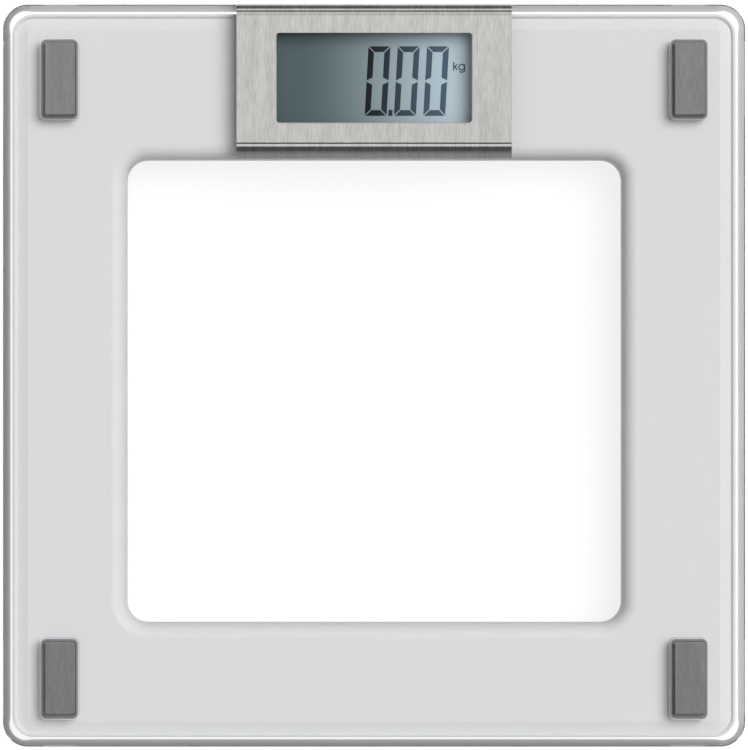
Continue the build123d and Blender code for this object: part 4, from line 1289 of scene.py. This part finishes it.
@dataclass
class CarriedNodes:
    """The CAD nodes that are shown as they are, each with its finish."""

    finishes: dict[str, Finish] = field(default_factory=lambda: dict(NODE_FINISH))

    def dress(self, shop: Workshop) -> None:
        """Gives every carried node its material.

        Args:
            shop: where the materials are made.
        """
        for name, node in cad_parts.items():
            finish = self.finishes.get(self.kind(name))
            if finish is None:
                continue
            node.data.materials.clear()
            node.data.materials.append(shop.material(finish))
            log.info("%s: %s", name, finish.name)

    def kind(self, name: str) -> str:
        """What a node's name says without its corner.

        Args:
            name: the node's name.

        Returns:
            The name, without the corner where it ends with one.
        """
        for corner in Corner:
            name = name.removesuffix(f"_{corner.value}")
        return name


@dataclass
class Studio:
    """The floor, the light and the camera."""

    distance: float = 2000.0
    frame_height: float = 302.75
    aim_x: float = -0.06
    aim_y: float = 0.24
    aim_z: float = 34.3
    sensor: float = 36.0
    clip_end: float = 100.0
    key_from: tuple[float, float, float] = (0.43, 0.27, 0.86)
    key_strength: float = 2.44
    key_angle: float = 0.8
    zenith: float = 0.5
    horizon: float = 0.17
    panel_from: float = 0.93
    panel_to: float = 0.72
    wall_level: float = 0.68
    gap_level: float = 0.14
    gap_from: float = 0.9925
    gap_to: float = 0.997
    side_way: tuple[float, float, float] = (0.7071, 0.7071, 0.0)
    side_share: float = 0.45
    dark_from: float = -0.13
    dark_to: float = -0.2
    low_from: float = 0.3
    low_to: float = 0.14
    grey_from: float = -0.45
    grey_to: float = -0.55
    grey_level: float = 0.3
    floor_size: float = 60.0
    floor_share: float = 0.25
    floor_glow: float = 0.9
    paper_cloud: float = 300.0
    paper_spread: float = 0.02

    def floor(self) -> None:
        """Makes the pale paper floor.

        It glows for rays from the camera and for mirrored and bent ones, so it looks almost
        white, and the object still shades it. Matt surfaces only get what it reflects.
        """
        bpy.ops.mesh.primitive_plane_add(size=self.floor_size)
        plane = bpy.context.object
        plane.name = "floor"
        material, tree, place = new_tree("white_paper")
        path = add_node(tree, "ShaderNodeLightPath")
        straight = add_node(
            tree,
            "ShaderNodeMath",
            {0: path.outputs["Is Camera Ray"], 1: path.outputs["Is Glossy Ray"]},
            operation="MAXIMUM",
        )
        seen = add_node(
            tree,
            "ShaderNodeMath",
            {0: straight.outputs[0], 1: path.outputs["Is Transmission Ray"]},
            operation="MAXIMUM",
        )
        dark = self.floor_share * (1 - self.paper_spread)
        pale = self.floor_share * (1 + self.paper_spread)
        share = mottle(tree, place, self.paper_cloud, dark, pale)
        grey = add_node(
            tree, "ShaderNodeCombineColor", {"Red": share, "Green": share, "Blue": share}
        )
        matt = add_node(tree, "ShaderNodeBsdfDiffuse", {"Color": grey.outputs[0]})
        level = add_node(
            tree, "ShaderNodeMath", {0: seen.outputs[0], 1: self.floor_glow}, operation="MULTIPLY"
        )
        glow = add_node(tree, "ShaderNodeEmission", {"Strength": level.outputs[0]})
        both = add_node(tree, "ShaderNodeAddShader", {0: matt.outputs[0], 1: glow.outputs[0]})
        finish_tree(tree, both.outputs[0])
        plane.data.materials.append(material)

    def light(self) -> None:
        """Makes the soft key lamp, which mirrors and glass don't see, and the room round it."""
        lamp = bpy.data.lights.new("key", "SUN")
        lamp.energy = self.key_strength
        lamp.angle = self.key_angle
        key = bpy.data.objects.new("key", lamp)
        key.rotation_euler = Vector(self.key_from).to_track_quat("Z", "Y").to_euler()
        key.visible_glossy = False
        key.visible_transmission = False
        bpy.context.collection.objects.link(key)
        self.room()

    def room(self) -> None:
        """Makes the world, in which every level is a share of the background's own pale grey.

        Matt surfaces get a dim room. Mirrored and bent rays see a room with a panel, walls and
        a darker part. The camera sees one even pale tone.
        """
        world = bpy.data.worlds.new("pale_room")
        bpy.context.scene.world = world
        world.use_nodes = True
        tree = world.node_tree
        tree.nodes.clear()
        way = add_node(tree, "ShaderNodeTexCoord").outputs["Generated"]
        parts = add_node(tree, "ShaderNodeSeparateXYZ", {"Vector": way})
        ambient = add_node(
            tree,
            "ShaderNodeMapRange",
            {
                "Value": parts.outputs["Z"],
                "From Min": 0,
                "From Max": 1,
                "To Min": self.horizon,
                "To Max": self.zenith,
            },
        )
        mirror = self.mirrored(tree, way, parts)
        path = add_node(tree, "ShaderNodeLightPath")
        bent = add_node(
            tree,
            "ShaderNodeMath",
            {0: path.outputs["Is Glossy Ray"], 1: path.outputs["Is Transmission Ray"]},
            operation="MAXIMUM",
        )
        level = add_node(
            tree,
            "ShaderNodeMix",
            {0: bent.outputs[0], 2: ambient.outputs[0], 3: mirror},
            data_type="FLOAT",
        )
        shown = add_node(
            tree,
            "ShaderNodeMix",
            {0: path.outputs["Is Camera Ray"], 2: level.outputs[0], 3: 1.0},
            data_type="FLOAT",
        )
        back = add_node(tree, "ShaderNodeBackground", {"Strength": shown.outputs[0]})
        add_node(tree, "ShaderNodeOutputWorld", {"Surface": back.outputs[0]})

    def mirrored(self, tree: Tree, way: Socket, parts: bpy.types.Node) -> Socket:
        """The room that mirrored and bent rays see.

        Args:
            tree: the world's node tree.
            way: the direction that a ray goes in.
            parts: the direction's parts along X, Y and Z.

        Returns:
            The level in each direction.
        """
        side = add_node(
            tree, "ShaderNodeVectorMath", {0: way, 1: self.side_way}, operation="DOT_PRODUCT"
        ).outputs["Value"]
        left = add_node(tree, "ShaderNodeMath", {0: side, 1: self.side_share}, operation="MULTIPLY")
        height = parts.outputs["Z"]
        front = add_node(
            tree,
            "ShaderNodeMath",
            {0: left.outputs[0], 1: parts.outputs["Y"]},
            operation="MINIMUM",
        ).outputs[0]
        ramps = (
            # The bright panel overhead, which fades to the walls
            (height, self.panel_to, self.panel_from, self.wall_level, 1),
            # The darker part, at the front and to the left of it
            (front, self.dark_from, self.dark_to, 1, 0),
            # The grey that follows further round in the darker part
            (front, self.grey_from, self.grey_to, 0, self.grey_level),
            # The small dark gap straight overhead, which keeps the display from washing out
            (height, self.gap_from, self.gap_to, 1, self.gap_level),
            # The pale band low down, as of paper that runs on behind the object
            (height, self.low_from, self.low_to, 0, 1),
        )
        levels = []
        for value, start, end, first, last in ramps:
            ramp = add_node(
                tree,
                "ShaderNodeMapRange",
                {
                    "Value": value,
                    "From Min": start,
                    "From Max": end,
                    "To Min": first,
                    "To Max": last,
                },
                interpolation_type="SMOOTHSTEP",
            )
            levels.append(ramp.outputs[0])
        panel, dark, grey, gap, low = levels
        round_about = add_node(
            tree, "ShaderNodeMath", {0: panel, 1: dark, 2: grey}, operation="MULTIPLY_ADD"
        )
        upper = add_node(
            tree, "ShaderNodeMath", {0: round_about.outputs[0], 1: gap}, operation="MULTIPLY"
        )
        whole = add_node(
            tree,
            "ShaderNodeMix",
            {0: low, 2: upper.outputs[0], 3: 1.0},
            data_type="FLOAT",
        )
        return whole.outputs[0]

    def camera(self) -> None:
        """Makes the camera, straight above the platform as in the photograph.

        The picture is a little higher than wide, so the lens is set by the height that it frames.
        """
        data = bpy.data.cameras.new("camera")
        data.sensor_width = self.sensor
        data.lens = self.sensor * self.distance / self.frame_height
        data.clip_end = self.clip_end
        camera = bpy.data.objects.new("camera", data)
        camera.location = Vector((self.aim_x, self.aim_y, self.aim_z + self.distance)) * MM
        bpy.context.collection.objects.link(camera)
        bpy.context.scene.camera = camera
        bpy.context.scene.view_settings.view_transform = "Standard"


def main() -> None:
    """Builds the pieces in order."""
    logging.basicConfig(level=logging.INFO, format="%(message)s")
    shop = Workshop()
    plates = CornerPlates()
    plates.build(shop)
    PlateSeals().build(shop, plates)
    Platform().build(shop, plates)
    CarrierFrame().build(shop, plates)
    DisplayCover().build(shop)
    DisplayMarks().build(shop)
    CarriedNodes().dress(shop)
    studio = Studio()
    studio.floor()
    studio.light()
    studio.camera()


if __name__ == "__main__":
    main()
